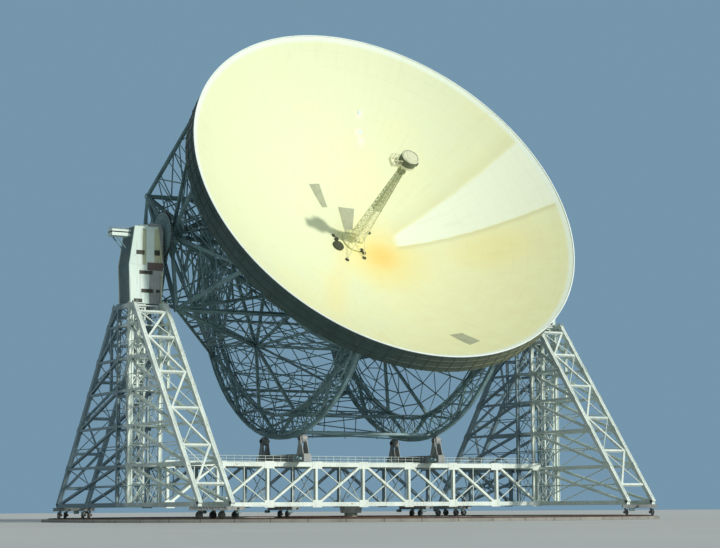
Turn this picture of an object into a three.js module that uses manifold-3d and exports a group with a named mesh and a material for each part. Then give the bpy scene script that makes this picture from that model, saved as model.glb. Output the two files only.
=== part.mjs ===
// Fully steerable radio telescope dish, as a 1:10 scale model.
// Origin: centre of the azimuth track, at ground level. +Z up, +X along the elevation axis,
// the dish faces -Y and is tilted up. Lengths are millimetres of the model.

import * as THREE from "three";
import { mergeVertices } from "three/addons/utils/BufferGeometryUtils.js";
import Module from "manifold-3d";

const wasm = await Module();
wasm.setup();

// Driving dimensions, each given in metres of the real telescope
const M = 100;                       // millimetres of the model for one real metre
const seat = 0.3;                    // air between two pieces that touch
const runningGap = 6;                // air between pieces that move past each other

const dishRadius = 38.1 * M;
const frontFocus = 22.9 * M;         // focal length of the new reflecting surface
const oldFocus = 19.05 * M;          // focal length of the old membrane behind it
const rimForward = 18.18 * M;        // rim plane, in front of the elevation axis
const skin = 0.12 * M;
const bandDepth = 4.6 * M;
const bandWall = 0.22 * M;
const elevationAtRest = 31.5;        // degrees above the horizon
const axisHeight = 50.5 * M;

const wheelOffset = 14 * M;          // wheel girders, either side of the middle
const wheelRadius = 35.5 * M;        // outer chord of a wheel girder
const wheelDepth = 4 * M;            // outer chord to inner chord
const wheelRailTop = 35.9 * M;
const ribCount = 12;                 // main ribs behind the bowl

const towerX = 42.25 * M;            // middle of each tower
const sideOffset = 2.85 * M;         // tower side frames, either side of its middle
const legTopY = 4.14 * M;            // leg, at the underside of the head house
const legFootY = 32 * M;
const legFootZ = 2.9 * M;
const houseBottom = 37.8 * M;
const houseTop = 51.3 * M;
const houseWaist = 44.6 * M;
const houseDepth = 5.2 * M;

const outerRailRadius = 55 * M;
const innerRailRadius = 50.4 * M;
const centreRailRadius = 14 * M;
const groundworkTop = 0.5 * M;
const railTop = groundworkTop + 0.16 * M;
const girderTop = 10 * M;            // middle of the diametral girder's top chord
const girderHalfWidth = 4.5 * M;

const paint = {
  concrete: [0x9b988f, 0.9, 0],
  rail: [0x6d5a4c, 0.55, 0.8],
  whiteSteel: [0xe9ebe6, 0.55, 0.1],
  greySteel: [0xa6a9a4, 0.6, 0.1],
  slateSteel: [0x3d5058, 0.6, 0.2],
  oliveSteel: [0x36423d, 0.6, 0.2],
  cream: [0xf1efcd, 0.6, 0.05],
  dark: [0x3a3f3c, 0.6, 0.2],
};

const telescope = new THREE.Group();
const turntable = new THREE.Group();
const bowl = new THREE.Group();
telescope.add(turntable, bowl);
bowl.position.z = axisHeight;
bowl.rotation.x = THREE.MathUtils.degToRad(90 - elevationAtRest);

// Points and shapes

function at(x, y, z) {
  return new THREE.Vector3(x, y, z);
}

const alongX = at(1, 0, 0);
const alongY = at(0, 1, 0);
const alongZ = at(0, 0, 1);

function degrees(angle) {
  return THREE.MathUtils.degToRad(angle);
}

function inMillimetres(pair) {
  return pair.map((value) => value * M);
}

// One closed skin with shared corners, without the slivers at a lathe's poles, facing outwards
function closed(geometry) {
  geometry.deleteAttribute("normal");
  geometry.deleteAttribute("uv");
  const merged = mergeVertices(geometry, 0.001);
  const index = [];
  for (let i = 0; i < merged.index.count; i += 3) {
    const corners = [0, 1, 2].map((k) => merged.index.getX(i + k));
    if (new Set(corners).size === 3) index.push(...corners);
  }
  merged.setIndex(index);
  let volume = 0;
  const corner = [at(0, 0, 0), at(0, 0, 0), at(0, 0, 0)];
  for (let i = 0; i < index.length; i += 3) {
    corner.forEach((v, k) => v.fromBufferAttribute(merged.attributes.position, index[i + k]));
    volume += corner[0].dot(corner[1].clone().cross(corner[2]));
  }
  if (volume < 0) merged.setIndex(index.reverse());
  return merged;
}

function solidOf(geometry) {
  const skinOf = closed(geometry);
  return new wasm.Manifold(new wasm.Mesh({
    numProp: 3,
    vertProperties: new Float32Array(skinOf.attributes.position.array),
    triVerts: new Uint32Array(skinOf.index.array),
  }));
}

// Flat faces that a joint has split are merged again
function geometryOf(solid) {
  const mesh = solid.asOriginal().simplify(0.01).getMesh();
  const geometry = new THREE.BufferGeometry();
  const positions = new Float32Array(mesh.vertProperties);
  geometry.setAttribute("position", new THREE.BufferAttribute(positions, 3));
  geometry.setIndex(new THREE.BufferAttribute(new Uint32Array(mesh.triVerts), 1));
  return geometry;
}

function joined(solids) {
  let level = solids;
  while (level.length > 1) {
    const next = [];
    for (let i = 0; i < level.length; i += 2) {
      next.push(i + 1 < level.length ? level[i].add(level[i + 1]) : level[i]);
    }
    level = next;
  }
  return level[0];
}

function place(group, name, geometry, finish) {
  const [color, roughness, metalness] = paint[finish];
  const material = new THREE.MeshStandardMaterial({ color, roughness, metalness });
  const mesh = new THREE.Mesh(geometry, material);
  mesh.name = name;
  group.add(mesh);
  return mesh;
}

function box(low, high) {
  const size = new THREE.Vector3().subVectors(high, low);
  const geometry = new THREE.BoxGeometry(size.x, size.y, size.z);
  return geometry.translate((low.x + high.x) / 2, (low.y + high.y) / 2, (low.z + high.z) / 2);
}

// A profile of [radius, height] points turned about Z
function turned(profile, segments) {
  const geometry = new THREE.LatheGeometry(profile.map(([r, z]) => new THREE.Vector2(r, z)), segments);
  return closed(geometry.rotateX(Math.PI / 2));
}

function ring(innerRadius, outerRadius, low, high, segments) {
  const loop = [[innerRadius, low], [outerRadius, low], [outerRadius, high], [innerRadius, high]];
  return turned([...loop, loop[0]], segments);
}

// A square bar between two points; its depth lies along the given normal
function bar(from, to, width, depth, normal) {
  const along = new THREE.Vector3().subVectors(to, from);
  const length = along.length();
  along.normalize();
  const across = new THREE.Vector3().crossVectors(normal, along).normalize();
  const flat = new THREE.Vector3().crossVectors(along, across);
  const geometry = new THREE.BoxGeometry(width, depth, length);
  const middle = new THREE.Vector3().addVectors(from, to).multiplyScalar(0.5);
  return geometry.applyMatrix4(new THREE.Matrix4().makeBasis(across, flat, along).setPosition(middle));
}

// A lattice is a list of bars that are fused where they meet
class Lattice {
  constructor() {
    this.bars = [];
  }

  add(from, to, width, depth, normal) {
    this.bars.push({ from, to, width, depth, normal });
  }

  // Bars through a row of points
  chain(points, width, depth, normal) {
    for (let i = 1; i < points.length; i += 1) {
      this.add(points[i - 1], points[i], width, depth, normal);
    }
  }

  // The fused bars, each side moved out by the given growth
  solid(growth = 0) {
    return joined(this.bars.map((b) => {
      const along = new THREE.Vector3().subVectors(b.to, b.from).setLength(growth);
      const from = b.from.clone().sub(along);
      const to = b.to.clone().add(along);
      return solidOf(bar(from, to, b.width + 2 * growth, b.depth + 2 * growth, b.normal));
    }));
  }
}

// Ground works

const trackMiddle = (outerRailRadius + innerRailRadius) / 2;
const trackSegments = 48;
const centreSegments = 24;
const pivotRadius = 1.2 * M;
const pivotTop = 2.2 * M;

function foundation(radius, half, segments) {
  return ring(radius - half, radius + half, 0, groundworkTop, segments);
}

function rail(radius, segments) {
  const half = 0.12 * M;
  return ring(radius - half, radius + half, groundworkTop + seat, railTop, segments);
}

function addGroundWorks() {
  place(telescope, "track_foundation", foundation(trackMiddle, 3.6 * M, trackSegments), "concrete");
  place(telescope, "outer_rail", rail(outerRailRadius, trackSegments), "rail");
  place(telescope, "inner_rail", rail(innerRailRadius, trackSegments), "rail");
  const centre = foundation(centreRailRadius, 1.6 * M, centreSegments);
  place(telescope, "centre_foundation", centre, "concrete");
  place(telescope, "centre_rail", rail(centreRailRadius, centreSegments), "rail");
  const footRadius = 2.2 * M;
  const post = [[0, 0], [footRadius, 0], [footRadius, groundworkTop], [pivotRadius, groundworkTop],
    [pivotRadius, pivotTop], [0, pivotTop]];
  place(telescope, "centre_pivot_post", turned(post, centreSegments), "concrete");
}

// Bogies run on the rails

const wheelSize = 0.5 * M;
const axleHeight = railTop + seat + wheelSize;
const legSize = 0.8 * M;
const sillSize = 0.76 * M;           // the lowest bars, whose undersides stand on the bogies
const bogieTop = legFootZ - sillSize / 2 - seat;
const bogieDeckLow = 1.9 * M;

function bogie(railOffsets, wheelSpacing, halfLength) {
  const halfWidth = Math.max(...railOffsets.map(Math.abs)) + 0.7 * M;
  const deck = box(at(-halfLength, -halfWidth, bogieDeckLow), at(halfLength, halfWidth, bogieTop));
  const parts = [solidOf(deck)];
  for (const offset of railOffsets) {
    for (const side of [-1, 1]) {
      const x = side * wheelSpacing / 2;
      const wheel = new THREE.CylinderGeometry(wheelSize, wheelSize, 0.2 * M, 10);
      parts.push(solidOf(wheel.translate(x, offset, axleHeight)));
      const cheek = box(at(x - 0.3 * M, offset - 0.4 * M, axleHeight - 0.25 * M),
        at(x + 0.3 * M, offset - 0.09 * M, bogieDeckLow + 0.1 * M));
      parts.push(solidOf(cheek));
    }
  }
  return joined(parts);
}

function addBogies() {
  const half = (outerRailRadius - innerRailRadius) / 2;
  const around = Math.atan2(legFootY, towerX);
  for (const [name, angle] of [["front_left", Math.PI + around], ["rear_left", Math.PI - around],
    ["front_right", -around], ["rear_right", around]]) {
    const geometry = geometryOf(bogie([-half, half], 4 * M, 3.4 * M));
    const mesh = place(turntable, `${name}_bogie`, geometry, "greySteel");
    mesh.rotation.z = angle - Math.PI / 2;
    mesh.position.set(trackMiddle * Math.cos(angle), trackMiddle * Math.sin(angle), 0);
  }
  for (const [name, side] of [["left", -1], ["right", 1]]) {
    const geometry = geometryOf(bogie([0], 3 * M, 4.9 * M));
    const mesh = place(turntable, `centre_${name}_bogie`, geometry, "greySteel");
    mesh.rotation.z = Math.PI / 2;
    mesh.position.x = side * centreRailRadius;
  }
}

// Towers

const towerLevels = [9.6, 16.5, 22.6, 28.2, 34].map((z) => z * M);
const columnY = 2.6 * M;             // posts of the upright column under the head house
const towerTop = houseBottom - 0.4 * M;
const frameDepth = 0.7 * M;

function legY(z) {
  return THREE.MathUtils.mapLinear(z, houseBottom, legFootZ, legTopY, legFootY);
}

function sideFrame(x) {
  const frame = new Lattice();
  const levels = [legFootZ, ...towerLevels, towerTop];
  const brace = (from, to, width) => frame.add(from, to, width, frameDepth, alongX);
  const leg = (side, z) => at(x, side * legY(z), z);
  for (const side of [-1, 1]) brace(leg(side, legFootZ), leg(side, towerTop), legSize);
  levels.forEach((z, i) => {
    const ends = i === 0 || i === levels.length - 1;
    brace(leg(-1, z), leg(1, z), ends ? sillSize : 0.45 * M);
  });
  for (const side of [-1, 1]) {
    const post = side * columnY;
    brace(at(x, post, legFootZ), at(x, post, towerTop), 0.45 * M);
    for (let i = 1; i < levels.length; i += 1) {
      brace(leg(side, levels[i - 1]), at(x, post, levels[i]), 0.4 * M);
    }
    const midway = side * 6 * M;
    brace(at(x, midway, levels[3]), at(x, midway, levels[5]), 0.36 * M);
  }
  return frame;
}

// Rungs and diagonals between the two front legs, or the two rear ones: made upright, then leant
const rungLevels = [6.1, 12.4, 18.7, 25, 31.3, 36].map((z) => z * M);

function faceBracing() {
  const face = new Lattice();
  const half = sideOffset - frameDepth / 2 - seat;
  const run = Math.hypot(legFootY - legTopY, houseBottom - legFootZ);
  const depth = 0.42 * M;
  const corner = half - 0.2 * M;
  let last = null;
  rungLevels.forEach((level, i) => {
    const z = THREE.MathUtils.mapLinear(level, legFootZ, houseBottom, 0, run);
    face.add(at(-half, 0, z), at(half, 0, z), depth, depth, alongY);
    if (i > 0) {
      const way = i % 2 ? 1 : -1;
      face.add(at(-way * corner, 0, last), at(way * corner, 0, z), 0.36 * M, depth, alongY);
    }
    last = z;
  });
  return face;
}

function addFaceBracing(name, middle, side) {
  const mesh = place(turntable, name, geometryOf(faceBracing().solid()), "whiteSteel");
  mesh.position.set(middle, side * legFootY, legFootZ);
  mesh.rotation.x = side * Math.atan2(legFootY - legTopY, houseBottom - legFootZ);
}

// The lift shaft stands in the column's outer front corner
function liftShaft(middle, side) {
  const shaft = new Lattice();
  const half = 1.1 * M;
  const outwards = side * 1.2 * M;
  const forwards = -1.2 * M;
  const top = houseBottom - seat;
  for (const x of [-half, half]) {
    for (const y of [-half, half]) {
      shaft.add(at(x, y, legFootZ), at(x, y, top), 0.3 * M, 0.3 * M, alongX);
    }
  }
  const sill = sideOffset - frameDepth / 2 - seat;
  for (const y of [-half, half]) {
    const [from, to] = [-sill - outwards, sill - outwards];
    shaft.add(at(from, y, legFootZ), at(to, y, legFootZ), 0.28 * M, 0.28 * M, alongZ);
  }
  const corner = half * Math.SQRT2;
  const hoop = 0.14 * M;
  const rings = [13, 25, 37].map((z) => {
    const square = ring(corner - hoop, corner + hoop, z * M, (z + 0.3) * M, 4);
    return solidOf(square.rotateZ(Math.PI / 4));
  });
  return geometryOf(joined([shaft.solid(), ...rings])).translate(middle + outwards, forwards, 0);
}

// The head house is widest at its waist
function headHouse(middle, growth) {
  const shape = new THREE.Shape();
  const outline = [[-2.95, houseBottom - growth], [2.95, houseBottom - growth], [3.2, houseWaist],
    [2.2, houseTop + growth], [-2.2, houseTop + growth], [-3.2, houseWaist]];
  outline.forEach(([x, z], i) => {
    const grown = middle + x * M + Math.sign(x) * growth;
    if (i) shape.lineTo(grown, z);
    else shape.moveTo(grown, z);
  });
  const depth = houseDepth + 2 * growth;
  const geometry = new THREE.ExtrudeGeometry(shape, { depth, bevelEnabled: false });
  return geometry.rotateX(Math.PI / 2).translate(0, depth / 2, 0);
}

const trunnionRadius = 0.9 * M;
const boreRadius = trunnionRadius + 1.3;   // its corners; at its flats the air is half a millimetre
const trunnionEnd = 39.75 * M;
const blockFace = 37.2 * M;          // outer face of the block that the trunnion's flange sits on
const rackRadius = 4.1 * M;
const bearingInner = 38.85 * M;

// Bearing pedestal on the inner face of the head house
function trunnionBearing(side) {
  const outline = new THREE.Shape();
  const round = 1.9 * M;
  const footHalf = 2.3 * M;
  const foot = 44.2 * M;
  outline.moveTo(-footHalf, foot);
  outline.lineTo(footHalf, foot);
  outline.lineTo(round, axisHeight);
  outline.absarc(0, axisHeight, round, 0, Math.PI, false);
  outline.lineTo(-footHalf, foot);
  const bore = new THREE.Path();
  bore.absarc(0, axisHeight, boreRadius, 0, 2 * Math.PI, true);
  outline.holes.push(bore);
  const width = 2.2 * M;
  const settings = { depth: width, bevelEnabled: false, curveSegments: 12 };
  const geometry = new THREE.ExtrudeGeometry(outline, settings);
  geometry.rotateX(Math.PI / 2).rotateZ(Math.PI / 2);
  geometry.translate(side > 0 ? bearingInner : -bearingInner - width, 0, 0);
  return geometryOf(solidOf(geometry).subtract(solidOf(headHouse(side * towerX, seat))));
}

function addTower(name, side) {
  const middle = side * towerX;
  for (const [part, offset] of [["outer", sideOffset], ["inner", -sideOffset]]) {
    const frame = sideFrame(side * (towerX + offset)).solid();
    place(turntable, `${name}_tower_${part}_side`, geometryOf(frame), "whiteSteel");
  }
  addFaceBracing(`${name}_tower_front_bracing`, middle, -1);
  addFaceBracing(`${name}_tower_rear_bracing`, middle, 1);
  place(turntable, `${name}_lift_shaft`, liftShaft(middle, side), "whiteSteel");
  place(turntable, `${name}_trunnion_bearing`, trunnionBearing(side), "greySteel");
  const reach = 5.8 * M;               // the ledge, out from the tower's middle
  const ledge = box(at(-reach / 2, -1 * M, 49.6 * M), at(reach / 2, 1 * M, 50.5 * M));
  ledge.translate(middle + side * reach / 2, 0, 0);
  const house = solidOf(headHouse(middle, 0)).add(solidOf(ledge));
  place(turntable, `${name}_head_house`, geometryOf(house), "whiteSteel");
}

// The diametral girder ties the towers to the centre pivot

const girderDepth = 0.8 * M;
const girderEnd = towerX - sideOffset - frameDepth / 2 - seat;
const girderChord = 0.8 * M;

function girderSide(y) {
  const truss = new Lattice();
  const bays = 8;
  const brace = (x1, z1, x2, z2, width) => {
    truss.add(at(x1, y, z1), at(x2, y, z2), width, girderDepth, alongY);
  };
  const x = (i) => THREE.MathUtils.mapLinear(i, 0, bays, -girderEnd, girderEnd);
  const inset = 0.25 * M;
  brace(-girderEnd, legFootZ, girderEnd, legFootZ, sillSize);
  brace(-girderEnd, girderTop, girderEnd, girderTop, girderChord);
  for (let i = 0; i <= bays; i += 1) {
    const post = THREE.MathUtils.clamp(x(i), inset - girderEnd, girderEnd - inset);
    brace(post, legFootZ, post, girderTop, 0.45 * M);
    if (i < bays) {
      const [low, high] = i < bays / 2 ? [legFootZ, girderTop] : [girderTop, legFootZ];
      brace(x(i) + inset, low, x(i + 1) - inset, high, 0.4 * M);
    }
  }
  return truss;
}

function addGirder() {
  for (const [name, side] of [["front", -1], ["rear", 1]]) {
    const truss = girderSide(side * girderHalfWidth).solid();
    place(turntable, `diametral_girder_${name}`, geometryOf(truss), "whiteSteel");
  }
  const floorLow = 2.56 * M;
  const x = girderEnd - 0.1 * M;
  const y = girderHalfWidth - girderDepth / 2 - seat;
  const plate = (low, thickness) => box(at(-x, -y, low), at(x, y, low + thickness));
  place(turntable, "diametral_girder_floor", plate(floorLow, 0.16 * M), "greySteel");
  place(turntable, "diametral_girder_deck", plate(girderTop, 0.2 * M), "greySteel");
  const bore = pivotRadius + 2;
  const crown = pivotTop + seat;
  const skirt = 1.3 * M;
  const collar = [[0, crown], [bore, crown], [bore, skirt], [1.9 * M, skirt], [2.1 * M, floorLow - seat],
    [0, floorLow - seat]];
  place(turntable, "pivot_bearing", turned(collar, centreSegments), "greySteel");
}

// Cradles carry the wheel girders on rollers

function cradle() {
  const rollerRadius = 0.8 * M;
  const reach = wheelRailTop + runningGap + rollerRadius;
  const low = girderTop + girderChord / 2 + seat;
  const beamHeight = 1.4 * M;
  const beam = at(0.7 * M, 9.4 * M, 0);
  const parts = [solidOf(box(at(-beam.x, -beam.y, low), at(beam.x, beam.y, low + beamHeight)))];
  for (const angle of [-12, 12].map(degrees)) {
    const y = reach * Math.sin(angle);
    const z = axisHeight - reach * Math.cos(angle);
    const roller = new THREE.CylinderGeometry(rollerRadius, rollerRadius, 0.9 * M, 20);
    parts.push(solidOf(roller.rotateZ(Math.PI / 2).translate(0, y, z)));
    for (const side of [-1, 1]) {
      const top = z + 0.4 * M;
      const cheek = box(at(-0.14 * M, -0.45 * M, low + beamHeight / 2), at(0.14 * M, 0.45 * M, top));
      parts.push(solidOf(cheek.translate(side * 0.58 * M, y, 0)));
    }
  }
  return joined(parts);
}

function addCradles() {
  for (const [name, side] of [["left", -1], ["right", 1]]) {
    const mesh = place(turntable, `${name}_wheel_cradle`, geometryOf(cradle()), "greySteel");
    mesh.position.x = side * wheelOffset;
  }
}

// Bowl, in its own frame: x along the elevation axis, y up the dish, z along the way it looks

function parabola(focus, rimRadius, rimHeight) {
  return (r) => rimHeight - (rimRadius * rimRadius - r * r) / (4 * focus);
}

const surfaceEdge = dishRadius - bandWall - seat;
const frontHeight = parabola(frontFocus, dishRadius, rimForward);
const oldHeight = parabola(oldFocus, dishRadius, rimForward - 0.6 * M);
const frontStations = [2.8, 11, 19, 27, 33].map((r) => r * M);
const oldStations = [9.5, 19, 28.5].map((r) => r * M);
const bowlSegments = 48;

// A thin dished shell: front face out from the middle, rear face back to it
function dishShell(height, stations) {
  const radii = [0, ...stations, surfaceEdge];
  const front = radii.map((r) => [r, height(r)]);
  const rear = radii.map((r) => [r, height(r) - skin]).reverse();
  return turned([...front, ...rear], bowlSegments);
}

// Everything in front of the old membrane's rear face
function bowlBlank() {
  const radii = [0, ...oldStations, surfaceEdge];
  const rear = radii.map((r) => [r, oldHeight(r) - skin - seat]);
  const side = dishRadius + 2;
  const front = [[side, oldHeight(surfaceEdge)], [side, rimForward], [0, rimForward]];
  return turned([...rear, ...front], bowlSegments);
}

function rimBand() {
  const inner = dishRadius - bandWall;
  const low = rimForward - bandDepth;
  const lip = rimForward + 0.08 * M;
  const taper = 0.1 * M;
  const loop = [[inner, low], [dishRadius - taper, low], [dishRadius, lip], [inner, lip]];
  return turned([...loop, loop[0]], bowlSegments);
}

// Rear chord of a rib: its place along the way the dish looks, at each radius
const ribNodes = [[5.4, -7.4], [14, -6.4], [22, -1.6], [30, 6.2], [37.2, 14.7]].map(inMillimetres);
const ribDepth = 0.4 * M;
const tieHalf = 0.17 * M;

// One rib in the plane y = 0, looking out along x
function rib(growth) {
  const frame = new Lattice();
  const rear = ribNodes.map(([r, z]) => at(r, 0, z));
  frame.chain(rear, 0.42 * M, ribDepth, alongY);
  rear.slice(1).forEach((node) => {
    frame.add(node, at(node.x, 0, oldHeight(node.x) + 0.2 * M), 0.34 * M, ribDepth, alongY);
  });
  return frame.solid(growth);
}

// The ribs and the rings that tie them
function ribFrame(growth = 0) {
  const ribShape = geometryOf(rib(growth));
  const parts = [];
  for (let i = 0; i < ribCount; i += 1) {
    parts.push(solidOf(ribShape.clone().rotateZ((i * 2 * Math.PI) / ribCount)));
  }
  for (const [r, z] of ribNodes.slice(0, 4)) {
    const half = tieHalf + growth;
    parts.push(solidOf(ring(r - half, r + half, z - half, z + half, ribCount).rotateZ(-Math.PI / 2)));
  }
  return joined(parts);
}

// A wheel girder lies in a plane across the elevation axis; its ends meet the bowl near the rim
const wheelBays = 16;
const outerStart = 69.5;             // degrees from the way the dish looks, where the arcs begin
const innerStart = 72.8;
const wheelFront = [[12.6, 33.2], [5, 26], [0, 20], [-4.4, 13], [-7.6, 0]].map(inMillimetres);
const hubY = 9.5 * M;
const hubZ = -19 * M;

function wheelPoint(x, radius, bay) {
  const start = radius === wheelRadius ? outerStart : innerStart;
  const angle = degrees(THREE.MathUtils.mapLinear(bay, 0, wheelBays, start, 360 - start));
  return at(x, radius * Math.sin(angle), radius * Math.cos(angle));
}

const wheelThickness = 0.56 * M;

// A flat arc across the x axis, from one end of the wheel girder to the other
function wheelArc(low, high, start, segments) {
  const shape = new THREE.Shape();
  const from = degrees(start);
  const to = degrees(360 - start);
  shape.absarc(0, 0, high, from, to, false);
  shape.absarc(0, 0, low, to, from, true);
  const geometry = new THREE.ExtrudeGeometry(shape, {
    depth: wheelThickness, bevelEnabled: false, curveSegments: segments / 2,
  });
  const turn = new THREE.Matrix4().makeBasis(alongZ, alongY, at(-1, 0, 0));
  return geometry.applyMatrix4(turn).translate(wheelThickness / 2, 0, 0);
}

// The wheel girder's flat truss, in the plane x = 0
function wheelTruss() {
  const truss = new Lattice();
  const innerRadius = wheelRadius - wheelDepth;
  const outer = (i) => wheelPoint(0, wheelRadius, i);
  const inner = (i) => wheelPoint(0, innerRadius, i);
  const brace = (from, to, width) => truss.add(from, to, width, wheelThickness, alongX);
  for (let i = 0; i < wheelBays; i += 1) {
    brace(i % 2 ? inner(i) : outer(i), i % 2 ? outer(i + 1) : inner(i + 1), 0.4 * M);
  }
  for (const side of [-1, 1]) {
    const front = wheelFront.map(([z, y]) => at(0, side * y, z));
    truss.chain(front, 0.5 * M, wheelThickness, alongX);
    const hub = at(0, side * hubY, hubZ);
    for (const i of [3, 5, 8]) brace(hub, inner(side > 0 ? i : wheelBays - i), 0.4 * M);
    for (const node of front.slice(2)) brace(hub, node, 0.4 * M);
  }
  brace(at(0, -hubY, hubZ), at(0, hubY, hubZ), 0.42 * M);
  const chordHalf = 0.25 * M;
  const rim = wheelArc(wheelRadius - 0.3 * M, wheelRailTop, outerStart, 44);
  const chord = wheelArc(innerRadius - chordHalf, innerRadius + chordHalf, innerStart, wheelBays);
  return joined([truss.solid(), solidOf(rim), solidOf(chord)]);
}

// Brackets from the front chord to the ribs that cross the wheel girder's plane
function wheelBrackets(x) {
  const brackets = new Lattice();
  for (const ribAngle of [0, 30, -30, 60, -60].map(degrees)) {
    const r = wheelOffset / Math.cos(ribAngle);
    const y = Math.abs(r * Math.sin(ribAngle));
    const rear = alongLine(ribNodes, r) - 0.15 * M;
    const front = alongLine(wheelFront.map(([z, chordY]) => [chordY, z]).reverse(), y);
    const side = Math.sign(ribAngle) || 1;
    brackets.add(at(x, side * y, front), at(x, side * y, rear), 0.46 * M, wheelThickness, alongX);
  }
  return brackets.solid();
}

// Height of a broken line of [position, height] points
function alongLine(points, position) {
  const i = Math.max(1, points.findIndex(([p]) => p >= position));
  const [low, high] = [points[i - 1], points[i]];
  return THREE.MathUtils.mapLinear(position, low[0], high[0], low[1], high[1]);
}

// Struts and diagonals across from one wheel girder to the other
function wheelTies() {
  const ties = new Lattice();
  const half = wheelOffset - wheelThickness / 2 - seat;
  const first = 3;
  let last = null;
  for (let i = first; i <= wheelBays - first; i += 2) {
    const left = wheelPoint(-half, wheelRadius, i);
    const right = wheelPoint(half, wheelRadius, i);
    const normal = at(0, left.y, left.z).normalize();
    ties.add(left, right, 0.4 * M, 0.4 * M, normal);
    if (last) {
      const swap = i % 4 === 1;
      const from = (swap ? last.left : last.right).clone();
      const to = (swap ? right : left).clone();
      from.x *= 0.97;
      to.x *= 0.97;
      ties.add(from, to, 0.34 * M, 0.34 * M, normal);
    }
    last = { left, right };
  }
  return ties;
}

// Frame that joins the bowl to a trunnion, with raking struts to the wheel girder
function trunnionFrame(side) {
  const frame = new Lattice();
  const point = (x, y, z) => at(side * x * M, y * M, z * M);
  const hub = point(36.4, 0, 0);
  const ribEnd = (angle, index) => {
    const [r, z] = ribNodes[index];
    return at(side * r * Math.cos(degrees(angle)), r * Math.sin(degrees(angle)), z);
  };
  const wheelRear = at(side * wheelOffset, 0, -wheelRadius);
  frame.add(point(36.6, -13, -4.5), point(36.6, 13, -4.5), 0.66 * M, 0.66 * M, alongX);
  frame.add(hub, ribEnd(0, 4), 0.6 * M, 0.6 * M, alongY);
  frame.add(hub, ribEnd(0, 2), 0.6 * M, 0.6 * M, alongY);
  for (const up of [-1, 1]) {
    const corner = point(36.6, up * 13, -4.5);
    const webHub = at(side * wheelOffset, up * hubY, hubZ);
    frame.add(hub, corner, 0.6 * M, 0.58 * M, alongX);
    frame.add(hub, ribEnd(up * 30, 4), 0.56 * M, 0.56 * M, alongX);
    frame.add(hub, ribEnd(up * 30, 2), 0.54 * M, 0.54 * M, alongX);
    frame.add(corner, ribEnd(up * 30, 4), 0.62 * M, 0.62 * M, alongX);
    frame.add(corner, ribEnd(up * 30, 2), 0.56 * M, 0.52 * M, alongZ);
    frame.add(corner, point(14, up * 13, -4.4), 0.6 * M, 0.6 * M, alongY);
    frame.add(corner, wheelRear, 0.56 * M, 0.56 * M, alongX);
    frame.add(corner, webHub, 0.5 * M, 0.5 * M, alongX);
    for (const part of [0.36, 0.68]) {
      const upper = corner.clone().lerp(webHub, part);
      const lower = corner.clone().lerp(wheelRear, part);
      frame.add(upper, lower, 0.4 * M, 0.4 * M, alongX);
    }
  }
  return frame;
}

function trunnionBlock(side) {
  const half = 1.6 * M;
  const [low, high] = [side * (blockFace - half), side * blockFace].sort((a, b) => a - b);
  return box(at(low, -half, -half), at(high, half, half));
}

// Trunnion with its flange, and the big toothed rack's disc
function trunnion(side) {
  const face = blockFace + seat;
  const flange = 2.2 * M;
  const [discLow, discHigh] = [37.9 * M, 38.3 * M];
  const disc = [[rackRadius, discLow], [rackRadius, discHigh]];
  const profile = [[0, face], [flange, face], [flange, discLow], ...disc,
    [trunnionRadius, discHigh], [trunnionRadius, trunnionEnd], [0, trunnionEnd]];
  return turned(profile, 20).rotateY(side * Math.PI / 2);
}

function addMast() {
  const vertex = frontHeight(0);
  const baseRadius = 2.6 * M;
  const foot = alongLine([0, frontStations[0]].map((r) => [r, frontHeight(r)]), baseRadius) + seat;
  const joint = 12 * M;
  const focus = vertex + frontFocus;
  const drumRadius = 1.7 * M;
  const drumLow = focus - 1.2 * M;
  const taper = (z) => THREE.MathUtils.mapLinear(z, vertex, drumLow, 1.45 * M, 0.5 * M);
  const plinth = foot + 0.5 * M;
  const base = [[0, foot], [baseRadius, foot], [baseRadius, plinth], [taper(plinth), plinth],
    [taper(joint), joint], [0, joint]];
  place(bowl, "mast_lower", turned(base, 16), "cream");
  const [upperLow, upperHigh] = [joint + seat, drumLow - seat];
  const upper = [[0, upperLow], [taper(upperLow), upperLow], [taper(upperHigh), upperHigh], [0, upperHigh]];
  place(bowl, "mast_upper", turned(upper, 12), "dark");
  const drumHigh = focus + 1.3 * M;
  const drum = [[0, drumLow], [1.2 * M, drumLow], [drumRadius, drumLow + 0.5 * M],
    [drumRadius, drumHigh - 0.2 * M], [1.5 * M, drumHigh], [0, drumHigh]];
  place(bowl, "focus_drum", turned(drum, 24), "dark");
  const cageHalf = 0.9 * M;
  const cage = box(at(-3.3 * M, -cageHalf, focus - cageHalf), at(-1.4 * M, cageHalf, focus + 0.7 * M));
  const cut = ring(0, drumRadius + seat, focus - 2 * M, focus + 2 * M, 24);
  place(bowl, "focus_cage", geometryOf(solidOf(cage).subtract(solidOf(cut))), "greySteel");
}

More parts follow.
